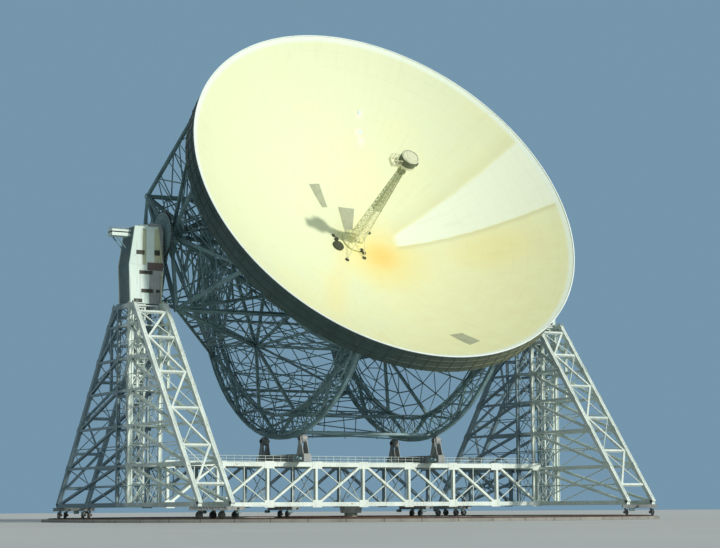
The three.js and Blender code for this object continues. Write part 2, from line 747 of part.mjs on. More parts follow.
function addBowl() {
  place(bowl, "reflector_surface", dishShell(frontHeight, frontStations), "cream");
  place(bowl, "rear_membrane", dishShell(oldHeight, oldStations), "oliveSteel");
  place(bowl, "rim_band", rimBand(), "oliveSteel");
  const blank = solidOf(bowlBlank());
  const grownRibs = ribFrame(seat);
  place(bowl, "rib_frame", geometryOf(ribFrame().subtract(blank)), "slateSteel");
  const wheelShape = geometryOf(wheelTruss());
  for (const [name, side] of [["left", -1], ["right", 1]]) {
    const x = side * wheelOffset;
    const wheel = solidOf(wheelShape.clone().translate(x, 0, 0)).add(wheelBrackets(x));
    place(bowl, `${name}_wheel_girder`, geometryOf(wheel.subtract(grownRibs)), "slateSteel");
    const slabHalf = wheelOffset + wheelThickness / 2 + seat;
    const between = box(at(-slabHalf, -dishRadius, -2 * wheelRadius), at(slabHalf, dishRadius, 0));
    const keepClear = joined([grownRibs, solidOf(between), blank]);
    const frame = trunnionFrame(side).solid().add(solidOf(trunnionBlock(side)));
    place(bowl, `${name}_trunnion_frame`, geometryOf(frame.subtract(keepClear)), "slateSteel");
    place(bowl, `${name}_trunnion`, trunnion(side), "greySteel");
  }
  place(bowl, "wheel_cross_bracing", geometryOf(wheelTies().solid()), "slateSteel");
  addMast();
}

addGroundWorks();
addBogies();
addTower("left", -1);
addTower("right", 1);
addGirder();
addCradles();
addBowl();

export default telescope;
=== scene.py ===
import math

import bmesh
import bpy
import numpy as np
from mathutils import Matrix, Vector


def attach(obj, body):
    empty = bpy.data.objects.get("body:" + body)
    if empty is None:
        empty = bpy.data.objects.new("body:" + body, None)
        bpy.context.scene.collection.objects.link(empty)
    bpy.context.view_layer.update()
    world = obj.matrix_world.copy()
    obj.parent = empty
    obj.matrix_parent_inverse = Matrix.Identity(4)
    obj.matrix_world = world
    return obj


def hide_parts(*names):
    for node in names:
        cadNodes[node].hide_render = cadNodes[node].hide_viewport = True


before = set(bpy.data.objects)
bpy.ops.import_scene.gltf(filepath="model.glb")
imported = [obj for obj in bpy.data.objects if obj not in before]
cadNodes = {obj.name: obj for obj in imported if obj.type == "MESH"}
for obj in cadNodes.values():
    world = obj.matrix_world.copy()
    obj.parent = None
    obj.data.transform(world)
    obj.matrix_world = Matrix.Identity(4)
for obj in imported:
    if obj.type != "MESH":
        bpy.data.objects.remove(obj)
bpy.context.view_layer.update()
print("frame loaded:", len(cadNodes), "nodes")

# Shapes are worked out in metres of the real dish; the model is a tenth of that
unit = 0.1
axisHeight = 50.5
elevationAtRest = 31.5
tilt = math.radians(90 - elevationAtRest)
groundToModel = Matrix.Scale(unit, 4)
bowlToModel = groundToModel @ Matrix.Translation((0, 0, axisHeight)) @ Matrix.Rotation(tilt, 4, "X")

dishRadius = 38.1
surfaceEdge = 37.87
surfaceRim, surfaceCurve = 18.18, 91.6     # height at the aperture's radius, and four focal lengths
membraneRim, membraneCurve = 17.58, 76.2
wheelOffset = 14
wheelRadius = 35.5
towerX = 42.25
sideOffset = 2.85
houseBottom = 37.8
legFootZ = 2.9
bothSides = (("left", -1), ("right", 1))
bothEnds = (-1, 1)
bowlSteel = ("bowl", "slateSteelPaint", "slate_steel")         # body, paint and slot of most lattices; the slate paint is painted shade
towerSteel = ("turntable", "whiteSteelPaint", "white_steel")


# Places round a circle, and a point at a radius and an angle about the upright axis
def anglesOf(count, phase=0):
    return [2 * math.pi * (i + phase) / count for i in range(count)]


def polar(radius, angle, z=0):
    return np.array((radius * math.cos(angle), radius * math.sin(angle), z))


# Camera where the photo's camera stood

camera = {
    "distance": 336.277,       # metres from the middle of the track
    "bearing": 29.2363,        # degrees, towards the left tower
    "height": 1.8526,
    "yaw": 0.3296,
    "pitch": 7.4434,
    "roll": -0.3274,
    "lens": 90.27,
}


def addCamera(c):
    bearing, pitch, roll = (math.radians(c[name]) for name in ("bearing", "pitch", "roll"))
    yaw = bearing + math.radians(c["yaw"])
    level = Vector((math.sin(yaw), math.cos(yaw), 0))
    right = Vector((math.cos(yaw), -math.sin(yaw), 0))
    ahead = level * math.cos(pitch) + Vector((0, 0, math.sin(pitch)))
    above = -level * math.sin(pitch) + Vector((0, 0, math.cos(pitch)))
    turn = Matrix((right * math.cos(roll) + above * math.sin(roll),
                   above * math.cos(roll) - right * math.sin(roll), -ahead)).transposed().to_4x4()
    place = Vector((-math.sin(bearing) * c["distance"], -math.cos(bearing) * c["distance"], c["height"]))
    data = bpy.data.cameras.new("photoCamera")
    data.lens, data.sensor_width = c["lens"], 36
    data.clip_start, data.clip_end = 0.5, 3000
    shooter = bpy.data.objects.new("photoCamera", data)
    shooter.matrix_world = Matrix.Translation(place * unit) @ turn
    bpy.context.scene.collection.objects.link(shooter)
    bpy.context.scene.camera = shooter


addCamera(camera)


# Node trees: sums on sockets add their own nodes

class Wire:
    def __init__(self, bench, socket):
        self.bench, self.socket = bench, socket

    def out(self, key):
        return Wire(self.bench, self.socket.node.outputs[key])

    def maths(self, operation, *others):
        inputs = {place: value for place, value in enumerate((self, *others))}
        return self.bench.add("ShaderNodeMath", {"operation": operation}, inputs)

    def turnedRound(self, operation, other):
        return self.bench.add("ShaderNodeMath", {"operation": operation}, {0: other, 1: self})

    def __add__(self, other):
        return self.maths("ADD", other)

    def __sub__(self, other):
        return self.maths("SUBTRACT", other)

    def __mul__(self, other):
        return self.maths("MULTIPLY", other)

    def __truediv__(self, other):
        return self.maths("DIVIDE", other)

    def __radd__(self, other):
        return self.turnedRound("ADD", other)

    def __rsub__(self, other):
        return self.turnedRound("SUBTRACT", other)

    def __rmul__(self, other):
        return self.turnedRound("MULTIPLY", other)

    def __rtruediv__(self, other):
        return self.turnedRound("DIVIDE", other)


# 0 on a whole number, 0.5 midway between two
def toSeam(value):
    return 0.5 - (value.maths("FRACT") - 0.5).maths("ABSOLUTE")


class Bench:
    def __init__(self, tree):
        self.tree = tree

    def add(self, kind, settings=None, inputs=None, output=0):
        node = self.tree.nodes.new(kind)
        for key, value in (settings or {}).items():
            setattr(node, key, value)
        for key, value in (inputs or {}).items():
            for one in value if isinstance(value, list) else [value]:
                if isinstance(one, Wire):
                    self.tree.links.new(one.socket, node.inputs[key])
                else:
                    node.inputs[key].default_value = one
        return Wire(self, node.outputs[output]) if node.outputs else None

    # 0 below low, 1 above high, smooth between
    def rise(self, value, low, high):
        return self.add("ShaderNodeMapRange", {"interpolation_type": "SMOOTHSTEP"},
                        {"Value": value, "From Min": low, "From Max": high})

    def mix(self, amount, first, second):
        return self.add("ShaderNodeMix", {"data_type": "RGBA"}, {0: amount, 6: first, 7: second}, 2)

    # size is the width of a blotch in metres of the model
    def noise(self, point, size, detail=3, roughness=0.5, stretch=(1, 1, 1)):
        if stretch != (1, 1, 1):
            point = self.add("ShaderNodeMapping", None, {"Vector": point, "Scale": stretch})
        return self.add("ShaderNodeTexNoise", None, {"Vector": point, "Scale": 1 / size, "Detail": detail,
                                                     "Roughness": roughness})

    # What the points of the base say under a name
    def attribute(self, name, kind="FLOAT_VECTOR"):
        return self.add("GeometryNodeInputNamedAttribute", {"data_type": kind}, {"Name": name})

    def bump(self, height, strength, distance):
        return self.add("ShaderNodeBump", None, {"Height": height, "Strength": strength, "Distance": distance})


def newMaterial(name):
    material = bpy.data.materials.new(name)
    material.use_nodes = True
    bench = Bench(material.node_tree)
    shader = material.node_tree.nodes["Principled BSDF"]
    point = bench.add("ShaderNodeTexCoord", None, None, "Object")

    def finish(color, roughness, normal=None, metallic=0.0):
        given = {"Base Color": color, "Roughness": roughness, "Normal": normal, "Metallic": metallic}
        for key, value in given.items():
            if isinstance(value, Wire):
                bench.tree.links.new(value.socket, shader.inputs[key])
            elif value is not None:
                shader.inputs[key].default_value = value
        return material

    return bench, point, finish


# Painted steel: blotches, rain streaks, dust and rust spots, and on the white and the olive paint painted shade and
# painted light towards one side; a paint says what differs from the common values
commonLook = {"dirtShare": 0.5, "rustFrom": 0.66, "roughness": 0.5}
paintLooks = {
    # White steel turns bluer grey towards the rear (+Y): painted shade
    "whiteSteelPaint": {"color": (0.82, 0.92, 0.85, 1), "shade": (0.68, 0.78, 0.72, 1), "dirt": (0.30, 0.27, 0.21, 1),
                        "dirtShare": 0.45, "rust": (0.34, 0.15, 0.06, 1), "rustFrom": 0.68,
                        "paintedLightShade": (0.25, 0.37, 0.42, 1), "paintedLightShadeAlong": "Y", "paintedLightShadeBetween": (0.12, 0.8)},
    # Slate blue-grey: painted shade, white steel as it looks in shade, on the lattices, trunnion frames and gear
    "slateSteelPaint": {"color": (0.26, 0.415, 0.43, 1), "shade": (0.17, 0.29, 0.31, 1), "dirt": (0.16, 0.17, 0.15, 1),
                        "rust": (0.16, 0.075, 0.035, 1)},
    "greySteelPaint": {"color": (0.36, 0.39, 0.38, 1), "shade": (0.25, 0.28, 0.27, 1), "dirt": (0.12, 0.10, 0.08, 1),
                       "rust": (0.24, 0.11, 0.05, 1), "roughness": 0.45},
    # Olive steel turns paler towards +X: painted light on the rim band's lower right
    "oliveSteelPaint": {"color": (0.045, 0.094, 0.086, 1), "shade": (0.032, 0.070, 0.066, 1),
                        "dirt": (0.13, 0.14, 0.10, 1), "dirtShare": 0.6, "rust": (0.13, 0.07, 0.035, 1),
                        "rustFrom": 0.69, "roughness": 0.55, "paintedLightShade": (0.22, 0.245, 0.145, 1), "paintedLightShadeAlong": "X",
                        "paintedLightShadeBetween": (-1.0, 2.9)},
    "darkSteelPaint": {"color": (0.050, 0.058, 0.052, 1), "shade": (0.028, 0.034, 0.030, 1),
                       "dirt": (0.12, 0.12, 0.10, 1), "dirtShare": 0.4, "rust": (0.15, 0.07, 0.03, 1), "rustFrom": 0.7},
    "claddingPaint": {"color": (0.74, 0.88, 0.80, 1), "shade": (0.64, 0.79, 0.72, 1), "dirt": (0.27, 0.26, 0.20, 1),
                      "rust": (0.30, 0.14, 0.06, 1), "rustFrom": 0.72, "roughness": 0.55},
    "shadedCladding": {"color": (0.12, 0.245, 0.29, 1), "shade": (0.10, 0.20, 0.235, 1), "dirt": (0.24, 0.23, 0.18, 1),
                       "dirtShare": 0.6, "rust": (0.22, 0.11, 0.05, 1), "rustFrom": 0.72, "roughness": 0.6},
    "mastPaint": {"color": (0.92, 0.93, 0.66, 1), "shade": (0.85, 0.86, 0.60, 1), "dirt": (0.42, 0.41, 0.28, 1),
                  "dirtShare": 0.3, "rust": (0.34, 0.17, 0.06, 1)},
    # Olive: painted shade in the head houses' recesses, on their inner corner bars and on the mast's stage
    "recessPaint": {"color": (0.60, 0.64, 0.42, 1), "shade": (0.50, 0.54, 0.35, 1), "dirt": (0.20, 0.20, 0.13, 1),
                    "rust": (0.28, 0.14, 0.05, 1), "rustFrom": 0.69, "roughness": 0.55},
    "mastShadePaint": {"color": (0.76, 0.79, 0.54, 1), "shade": (0.64, 0.67, 0.45, 1), "dirt": (0.20, 0.20, 0.13, 1),
                       "dirtShare": 0.4, "rust": (0.28, 0.14, 0.05, 1)},
    # Drum: dark olive, painted shade on the drum's side and its housing
    "drumShadeSidePaint": {"color": (0.18, 0.21, 0.125, 1), "shade": (0.12, 0.145, 0.085, 1), "dirt": (0.16, 0.16, 0.11, 1),
                  "rust": (0.28, 0.15, 0.06, 1), "rustFrom": 0.69},
    # Near-black: painted shade of openings behind louvres and at the mast's foot
    "louvrePaint": {"color": (0.05, 0.06, 0.03, 1), "shade": (0.035, 0.042, 0.022, 1), "dirt": (0.12, 0.12, 0.08, 1),
                    "dirtShare": 0.4, "rust": (0.22, 0.12, 0.05, 1), "rustFrom": 0.7, "roughness": 0.6},
    "brownPaint": {"color": (0.13, 0.105, 0.098, 1), "shade": (0.09, 0.075, 0.07, 1), "dirt": (0.16, 0.13, 0.10, 1),
                   "rust": (0.20, 0.09, 0.04, 1), "rustFrom": 0.6, "roughness": 0.6},
    # Lip: bluish white as a painted highlight along the rim
    "rimLipPaint": {"color": (0.90, 0.98, 0.94, 1), "shade": (0.82, 0.92, 0.87, 1), "dirt": (0.40, 0.44, 0.38, 1),
                    "dirtShare": 0.3, "rust": (0.30, 0.16, 0.08, 1), "rustFrom": 0.7},
}
steelGrain = {"blotches": 0.35, "streaks": 0.05, "upright": (1, 1, 0.09), "grain": 0.012, "spots": 0.028,
              "spotRise": 0.07, "relief": 0.0012}


def paintedSteel(name, look):
    look = {**commonLook, **look}
    bench, point, finish = newMaterial(name)
    blotches = bench.noise(point, steelGrain["blotches"], 4)
    streaks = bench.noise(point, steelGrain["streaks"], 4, 0.6, steelGrain["upright"])
    grain = bench.noise(point, steelGrain["grain"], 3)
    color = bench.mix(bench.rise(blotches, 0.35, 0.68), look["color"], look["shade"])
    if "paintedLightShade" in look:                     # painted shade towards the rear on white steel, painted light towards +X on olive steel
        place = bench.add("ShaderNodeSeparateXYZ", None, {0: point}, look["paintedLightShadeAlong"])
        color = bench.mix(bench.rise(place + blotches, *look["paintedLightShadeBetween"]), color, look["paintedLightShade"])
    dirt = bench.rise(streaks, 0.52, 0.78) * look["dirtShare"]
    color = bench.mix(dirt, color, look["dirt"])
    spots = bench.noise(point, steelGrain["spots"], 6, 0.62)
    rust = bench.rise(spots + blotches * 0.12, look["rustFrom"], look["rustFrom"] + steelGrain["spotRise"])
    color = bench.mix(rust, color, look["rust"])
    roughness = look["roughness"] + grain * 0.18 + rust * 0.2 - 0.06
    height = grain * 0.3 + rust * 0.5 + blotches * 0.2
    return finish(color, roughness, bench.bump(height, 0.35, steelGrain["relief"]))


paints = {name: paintedSteel(name, look) for name, look in paintLooks.items()}


# Cream panels of the dish: radial and ring seams, a rusty stain, a paler wedge with painted shade along its edges, and
# a painted highlight round the rim
dishLook = {
    "cream": (0.86, 0.885, 0.54, 1), "warm": (0.83, 0.80, 0.45, 1), "cool": (0.81, 0.87, 0.585, 1),
    "wedge": (0.90, 0.97, 0.79, 1), "wedgeEdgeShade": (0.57, 0.56, 0.31, 1), "seam": (0.64, 0.63, 0.40, 1),
    "pale": (1.0, 0.97, 0.80, 1), "paleSpots": [(5.1, 26.0), (4.9, 22.9), (5.2, 21.2)],
    # edge: a bluish white painted highlight round the rim
    "edge": (0.86, 0.97, 0.88, 1), "rimHighlightBetween": (36.85, 37.5),
    "orange": (0.93, 0.60, 0.14, 1), "yellow": (0.90, 0.77, 0.27, 1), "stain": (4.4, -3.6), "farStain": (25, -5.5),
    "ringStep": 2.38, "panels": 24, "moreFrom": (4, 8),
}


def dishMaterial(look):
    bench, point, finish = newMaterial("dishPaint")
    shift = Matrix.Rotation(-tilt, 3, "X") @ Vector((0, 0, -axisHeight))
    local = bench.add("ShaderNodeMapping", None, {"Vector": point, "Location": shift, "Rotation": (-tilt, 0, 0),
                                                  "Scale": (1 / unit,) * 3})
    split = bench.add("ShaderNodeSeparateXYZ", None, {0: local})
    x, u = split.out("X"), split.out("Y")
    radius = (x * x + u * u).maths("SQRT")
    angle = u.maths("ARCTAN2", x)

    step, panels = look["ringStep"], look["panels"]
    ringGap = toSeam(radius / step) * step
    middle, outer = (radius.maths("GREATER_THAN", step * rings) for rings in look["moreFrom"])
    count = panels + panels * middle + 2 * panels * outer
    spokeGap = toSeam(angle * count / (2 * math.pi)) * radius * (2 * math.pi) / count
    gap = ringGap.maths("MINIMUM", spokeGap)
    seam = 1 - bench.rise(gap, 0.015, 0.07)

    panel = bench.add("ShaderNodeCombineXYZ", None, {
        0: (radius / step).maths("FLOOR"), 1: (angle * count / (2 * math.pi)).maths("FLOOR"), 2: 3.7})
    panelTone = bench.add("ShaderNodeTexWhiteNoise", {"noise_dimensions": "3D"}, {"Vector": panel})
    broad = bench.noise(local, 14, 3)
    blotches = bench.noise(local, 3.2, 5, 0.6)
    grain = bench.noise(local, 0.25, 4, 0.6)
    radial = bench.add("ShaderNodeCombineXYZ", None, {0: angle * 5.5, 1: radius * 0.05, 2: 1.3})
    runs = bench.noise(radial, 0.4, 4, 0.6)

    color = bench.mix(bench.rise(broad + (x - u) * 0.006, 0.36, 0.72), look["cool"], look["cream"])
    color = bench.mix(bench.rise(blotches + (x - u * 1.2) * 0.004, 0.5, 0.86) * 0.5, color, look["warm"])
    color = bench.mix(panelTone * 0.07, color, look["warm"])

    def awayFrom(spot, stretch=1):         # metres from a place, shorter along x where the stretch is below 1
        offX, offU = x - spot[0], u - spot[1]
        return (offX * offX * stretch + offU * offU).maths("SQRT")

    away = awayFrom(look["stain"]) * (0.7 + runs * 0.6)
    color = bench.mix((1 - bench.rise(away, 1.0, 12.5)) * 0.8, color, look["yellow"])
    color = bench.mix((1 - bench.rise(away, 0.3, 5.0)) * 0.62, color, look["orange"])
    far = 1 - bench.rise(awayFrom(look["farStain"], 0.5) + blotches * 4, 3, 9.5)
    color = bench.mix(far * 0.4, color, look["yellow"])
    lowX, lowU = x * 0.86 - u * 0.5 + 1.0, x * 0.5 + u * 0.86 + 18
    low = 1 - bench.rise((lowX * lowX * 2 + lowU * lowU * 0.07).maths("SQRT") + blotches * 3, 2, 6.5)
    color = bench.mix(low * 0.3, color, look["yellow"])

    lowEdge = u + 1.3 - (x - 8.4) * 0.0655 + (blotches - 0.5) * 0.5
    highEdge = (x - 9) * 0.562 + 2.1 - u + (blotches - 0.5) * 0.9
    start = bench.rise(x, 7.6, 9.4)
    wedge = bench.rise(lowEdge, 0, 0.35) * bench.rise(highEdge, 0, 0.9) * start
    color = bench.mix(wedge * 0.9, color, look["wedge"])
    # Dark lines along the wedge's edges: painted shade of the plates' steps
    lowEdgeShade = bench.rise(lowEdge, -1.3, -0.15) * (1 - bench.rise(lowEdge, -0.15, 0.2)) * start
    highEdgeShade = bench.rise(highEdge, -4.5, -0.5) * (1 - bench.rise(highEdge, -0.5, 0.4)) * start
    color = bench.mix(lowEdgeShade * 0.4 + highEdgeShade * 0.16, color, look["wedgeEdgeShade"])

    for spot in look["paleSpots"]:
        near = 1 - bench.rise(awayFrom(spot) + blotches * 1.2, 0.6, 1.9)
        color = bench.mix(near * 0.8, color, look["pale"])

    # Bluish white ring near the rim: painted highlight
    color = bench.mix(bench.rise(radius, *look["rimHighlightBetween"]) * 0.8, color, look["edge"])
    dirty = bench.rise(runs, 0.55, 0.8) * 0.2 + seam * 0.11
    color = bench.mix(dirty, color, look["seam"])
    height = grain * 0.15 + blotches * 0.2 - seam * 1.0 + panelTone * 0.25
    roughness = 0.55 + grain * 0.2 - wedge * 0.08
    return finish(color, roughness, bench.bump(height, 0.3, 0.004))


paints["dishPaint"] = dishMaterial(dishLook)


def patchMaterial(name, color, shade):
    bench, point, finish = newMaterial(name)
    blotches = bench.noise(point, 0.12, 4)
    grain = bench.noise(point, 0.01, 3)
    tone = bench.mix(bench.rise(blotches, 0.3, 0.75), color, shade)
    return finish(tone, 0.55 + grain * 0.2, bench.bump(grain + blotches, 0.3, 0.001))


paints["patchPaint"] = patchMaterial("patchPaint", (0.45, 0.48, 0.32, 1), (0.37, 0.40, 0.27, 1))


# Old membrane behind the dish: plates with rust runs along their seams
membraneLook = {"color": (0.155, 0.18, 0.16, 1), "shade": (0.10, 0.125, 0.115, 1), "rust": (0.17, 0.11, 0.065, 1)}


def membraneMaterial(look):
    bench, point, finish = newMaterial("membranePaint")
    broad = bench.noise(point, 1.1, 4)
    runs = bench.noise(point, 0.09, 5, 0.62, (1, 1, 0.12))
    grain = bench.noise(point, 0.012, 3)
    color = bench.mix(bench.rise(broad, 0.35, 0.7), look["color"], look["shade"])
    color = bench.mix(bench.rise(runs, 0.55, 0.8) * 0.55, color, look["rust"])
    return finish(color, 0.6 + grain * 0.2, bench.bump(grain + broad, 0.3, 0.0015))


paints["membranePaint"] = membraneMaterial(membraneLook)


# Cast concrete with joints every few metres round the ring
concreteLook = {"color": (0.36, 0.35, 0.31, 1), "shade": (0.26, 0.255, 0.23, 1), "stain": (0.15, 0.13, 0.10, 1),
                "joint": (0.08, 0.075, 0.07, 1), "joints": 60}


def concreteMaterial(look):
    bench, point, finish = newMaterial("castConcrete")
    broad = bench.noise(point, 0.6, 5, 0.6)
    pores = bench.noise(point, 0.012, 4, 0.7)
    stains = bench.noise(point, 0.15, 4, 0.6, (1, 1, 0.3))
    split = bench.add("ShaderNodeSeparateXYZ", None, {0: point})
    angle = split.out("Y").maths("ARCTAN2", split.out("X")) * (look["joints"] / (2 * math.pi))
    joint = 1 - bench.rise(toSeam(angle), 0.006, 0.02)
    color = bench.mix(bench.rise(broad, 0.3, 0.7), look["color"], look["shade"])
    color = bench.mix(bench.rise(stains, 0.5, 0.8) * 0.5, color, look["stain"])
    color = bench.mix(joint * 0.8, color, look["joint"])
    return finish(color, 0.85 + pores * 0.1, bench.bump(pores - joint * 2, 0.5, 0.002))


paints["castConcrete"] = concreteMaterial(concreteLook)


# Rusty rail whose running face is polished
railLook = {"color": (0.16, 0.08, 0.045, 1), "shade": (0.10, 0.06, 0.04, 1), "rust": (0.22, 0.10, 0.045, 1),
            "polished": (0.55, 0.54, 0.52, 1), "polishedFrom": (0.0653, 0.0658)}


def railMaterial(look):
    bench, point, finish = newMaterial("railSteel")
    spots = bench.noise(point, 0.02, 5, 0.6)
    broad = bench.noise(point, 0.3, 4)
    split = bench.add("ShaderNodeSeparateXYZ", None, {0: point})
    top = bench.rise(split.out("Z"), *look["polishedFrom"])
    color = bench.mix(bench.rise(broad, 0.3, 0.7), look["color"], look["shade"])
    color = bench.mix(bench.rise(spots, 0.5, 0.7) * 0.6, color, look["rust"])
    color = bench.mix(top * 0.9, color, look["polished"])
    return finish(color, 0.75 - top * 0.45 + spots * 0.1, bench.bump(spots, 0.4, 0.001), 0.3 + top * 0.6)


paints["railSteel"] = railMaterial(railLook)
print("materials made:", len(paints))


# Shapes are gathered as points and faces, in metres of the real dish

def unitVector(v):
    v = np.asarray(v, float)
    return v / max(np.linalg.norm(v), 1e-9)


# Directions along a member, across it and through its depth, the last one near the given normal, or near the
# spare one where the member runs along the normal
def memberAxes(start, end, normal, limit=0.995, spare=(1, 0.2, 0.1)):
    along = unitVector(end - start)
    if abs(along @ unitVector(normal)) > limit:
        normal = spare
    across = unitVector(np.cross(normal, along))
    return along, across, np.cross(along, across)


# Outlines of rolled sections, as shares of their width and depth
sections = {
    "box": [(-0.5, -0.5), (0.5, -0.5), (0.5, 0.5), (-0.5, 0.5)],
    "angle": [(-0.5, -0.5), (0.5, -0.5), (0.5, -0.3), (-0.3, -0.3), (-0.3, 0.5), (-0.5, 0.5)],
    "channel": [(-0.5, -0.5), (0.5, -0.5), (0.5, -0.34), (-0.3, -0.34), (-0.3, 0.34), (0.5, 0.34), (0.5, 0.5),
                (-0.5, 0.5)],
    "beam": [(-0.5, -0.5), (0.5, -0.5), (0.5, -0.36), (0.1, -0.36), (0.1, 0.36), (0.5, 0.36), (0.5, 0.5),
             (-0.5, 0.5), (-0.5, 0.36), (-0.1, 0.36), (-0.1, -0.36), (-0.5, -0.36)],
    "round": [(0.5 * math.cos(math.pi * i / 4), 0.5 * math.sin(math.pi * i / 4)) for i in range(8)],
}


class Shape:
    def __init__(self):
        self.points, self.faces, self.paintOf, self.total = [], [], [], 0

    def put(self, points, faces, paint=0):
        self.faces += [[i + self.total for i in face] for face in faces]
        self.paintOf += paint if isinstance(paint, list) else [paint] * len(faces)
        self.points.append(np.asarray(points, float).reshape(-1, 3))
        self.total += len(self.points[-1])

    # A bar between two points; its depth lies along the given normal
    def bar(self, start, end, width, depth=None, normal=(0, 0, 1), section="box", paint=0):
        start, end = np.asarray(start, float), np.asarray(end, float)
        across, flat = memberAxes(start, end, normal)[1:]
        rim = np.array(sections[section])
        ring = np.outer(rim[:, 0] * width, across) + np.outer(rim[:, 1] * (depth or width), flat)
        n = len(rim)
        faces = [[j, (j + 1) % n, n + (j + 1) % n, n + j] for j in range(n)]
        faces += [list(range(n - 1, -1, -1)), list(range(n, 2 * n))]
        self.put(np.vstack([start + ring, end + ring]), faces, paint)

    def box(self, low, high, paint=0):
        (x0, y0, z0), (x1, y1, z1) = np.minimum(low, high), np.maximum(low, high)
        points = [(x, y, z) for z in (z0, z1) for x, y in ((x0, y0), (x1, y0), (x1, y1), (x0, y1))]
        self.put(points, [[3, 2, 1, 0], [4, 5, 6, 7], [0, 1, 5, 4], [1, 2, 6, 5], [2, 3, 7, 6], [3, 0, 4, 7]], paint)

    # A plate between two grids of points with the same rows and columns
    def plate(self, top, bottom):
        rows, columns = top.shape[:2]

        def at(layer, i, j):
            return layer * rows * columns + i * columns + j

        faces = []
        for i in range(rows - 1):
            for j in range(columns - 1):
                quad = [(i, j), (i + 1, j), (i + 1, j + 1), (i, j + 1)]
                faces += [[at(0, *q) for q in quad], [at(1, *q) for q in reversed(quad)]]
        edge = [(i, 0) for i in range(rows)] + [(rows - 1, j) for j in range(1, columns)]
        edge += [(i, columns - 1) for i in range(rows - 2, -1, -1)] + [(0, j) for j in range(columns - 2, 0, -1)]
        for p, q in zip(edge, edge[1:] + edge[:1]):
            faces.append([at(0, *p), at(1, *p), at(1, *q), at(0, *q)])
        self.put(np.concatenate([top.reshape(-1, 3), bottom.reshape(-1, 3)]), faces)

    # A profile of (radius, height) points turned about an axis through a centre; closed at the poles.
    # The paint is one for all or a list with one for each step of the profile
    def turned(self, profile, segments, center=(0, 0, 0), axis=(0, 0, 1), paint=0):
        axis = unitVector(axis)
        side = unitVector(np.cross(axis, (0, 1, 0) if abs(axis[1]) < 0.9 else (1, 0, 0)))
        other = np.cross(axis, side)
        points, rows = [], []
        for place, (radius, height) in enumerate(profile):
            middle = np.asarray(center, float) + axis * height
            if place and (radius, height) == tuple(profile[0]) and radius > 1e-6:
                rows.append(rows[0])       # a closed loop ends on its first ring
                continue
            if radius < 1e-6:
                rows.append([len(points)] * segments)
                points.append(middle)
                continue
            rows.append(list(range(len(points), len(points) + segments)))
            points += [middle + radius * (math.cos(a) * side + math.sin(a) * other) for a in anglesOf(segments)]
        faces, paintOf = [], []
        for step, (low, high) in enumerate(zip(rows, rows[1:])):
            for i in range(segments):
                k = (i + 1) % segments
                face = [low[i], low[k], high[k], high[i]]
                face = [v for j, v in enumerate(face) if v != face[j - 1]]
                if len(face) > 2:
                    faces.append(face)
                    paintOf.append(paint[step] if isinstance(paint, list) else paint)
        self.put(points, faces, paintOf)

    # A closed loop of (radius, height) turned into a ring
    def hoop(self, loop, segments):
        self.turned([*loop, loop[0]], segments)

    # An outline of (a, b) points pushed out between two places along the third axis
    def prism(self, outline, low, high, axes=(0, 2, 1), paint=0):
        a, b, c = axes
        points = np.zeros((2 * len(outline), 3))
        for row, place in enumerate((low, high)):
            for i, (p, q) in enumerate(outline):
                points[row * len(outline) + i, [a, b, c]] = (p, q, place)
        n = len(outline)
        faces = [[i, (i + 1) % n, n + (i + 1) % n, n + i] for i in range(n)]
        self.put(points, faces + [list(range(n - 1, -1, -1)), list(range(n, 2 * n))], paint)

    # Four corner bars with zigzag lacing on each side
    def laced(self, start, end, size, normal, corner, lace, pitch):
        length = np.linalg.norm(end - start)
        along, across, flat = memberAxes(start, end, normal, 0.98, (1, 0.1, 0.2))
        half = size / 2
        corners = [half * (a * across + b * flat) for a, b in ((-1, -1), (1, -1), (1, 1), (-1, 1))]
        for c in corners:
            self.bar(start + c, end + c, corner, corner, flat)
        bays = max(2, round(length / pitch))
        for side in range(4):
            one, two = corners[side], corners[(side + 1) % 4]
            out = unitVector(one + two)
            for i in range(bays):
                p, q = (one, two) if (i + side) % 2 else (two, one)
                self.bar(start + p + along * length * i / bays, start + q + along * length * (i + 1) / bays,
                         lace, lace * 0.6, out)

    # Two plates with flanges round a core, and flat lacing between them, as on a heavy riveted member
    def builtUp(self, start, end, width, depth, normal):
        start, end = np.asarray(start, float), np.asarray(end, float)
        length = np.linalg.norm(end - start)
        along, across, flat = memberAxes(start, end, normal)
        thin, flangeDepth, laceWidth = 0.07, 0.16, 0.11
        for side in bothEnds:
            web = side * flat * (depth - thin) / 2
            self.bar(start + web, end + web, width, thin, flat)
            for edge in bothEnds:
                flange = side * flat * (depth / 2 - 2 * thin) + edge * across * (width - thin) / 2
                self.bar(start + flange, end + flange, thin, flangeDepth, flat)
        self.bar(start, end, width - 0.12, depth - 0.1, flat)
        bays = max(2, round(length / (depth * 1.15)))
        for edge in bothEnds:
            for i in range(bays):
                lean = flat * (depth / 2 - flangeDepth) * (1 if i % 2 else -1)
                foot = start + edge * across * (width - thin) / 2
                self.bar(foot + along * length * i / bays + lean, foot + along * length * (i + 1) / bays - lean,
                         thin * 0.7, laceWidth, np.cross(across, lean + along))

    def meshOf(self, name, toModel):
        matrix = np.array(toModel)
        points = np.vstack(self.points) @ matrix[:3, :3].T + matrix[:3, 3]
        mesh = bpy.data.meshes.new(name)
        mesh.from_pydata(points.tolist(), [], self.faces)
        mesh.update()
        return mesh

    # Makes the piece and lets it ride on its body
    def piece(self, name, body, paint, slotName, replaced=(), smooth=None):
        mesh = self.meshOf(name, bowlToModel if body == "bowl" else groundToModel)
        made = bpy.data.objects.new(name, mesh)
        bpy.context.scene.collection.objects.link(made)
        dress(made, body, paint, slotName, replaced, smooth, self.paintOf)


def outwards(mesh):
    bm = bmesh.new()
    bm.from_mesh(mesh)
    bmesh.ops.recalc_face_normals(bm, faces=bm.faces)
    bm.to_mesh(mesh)
    bm.free()


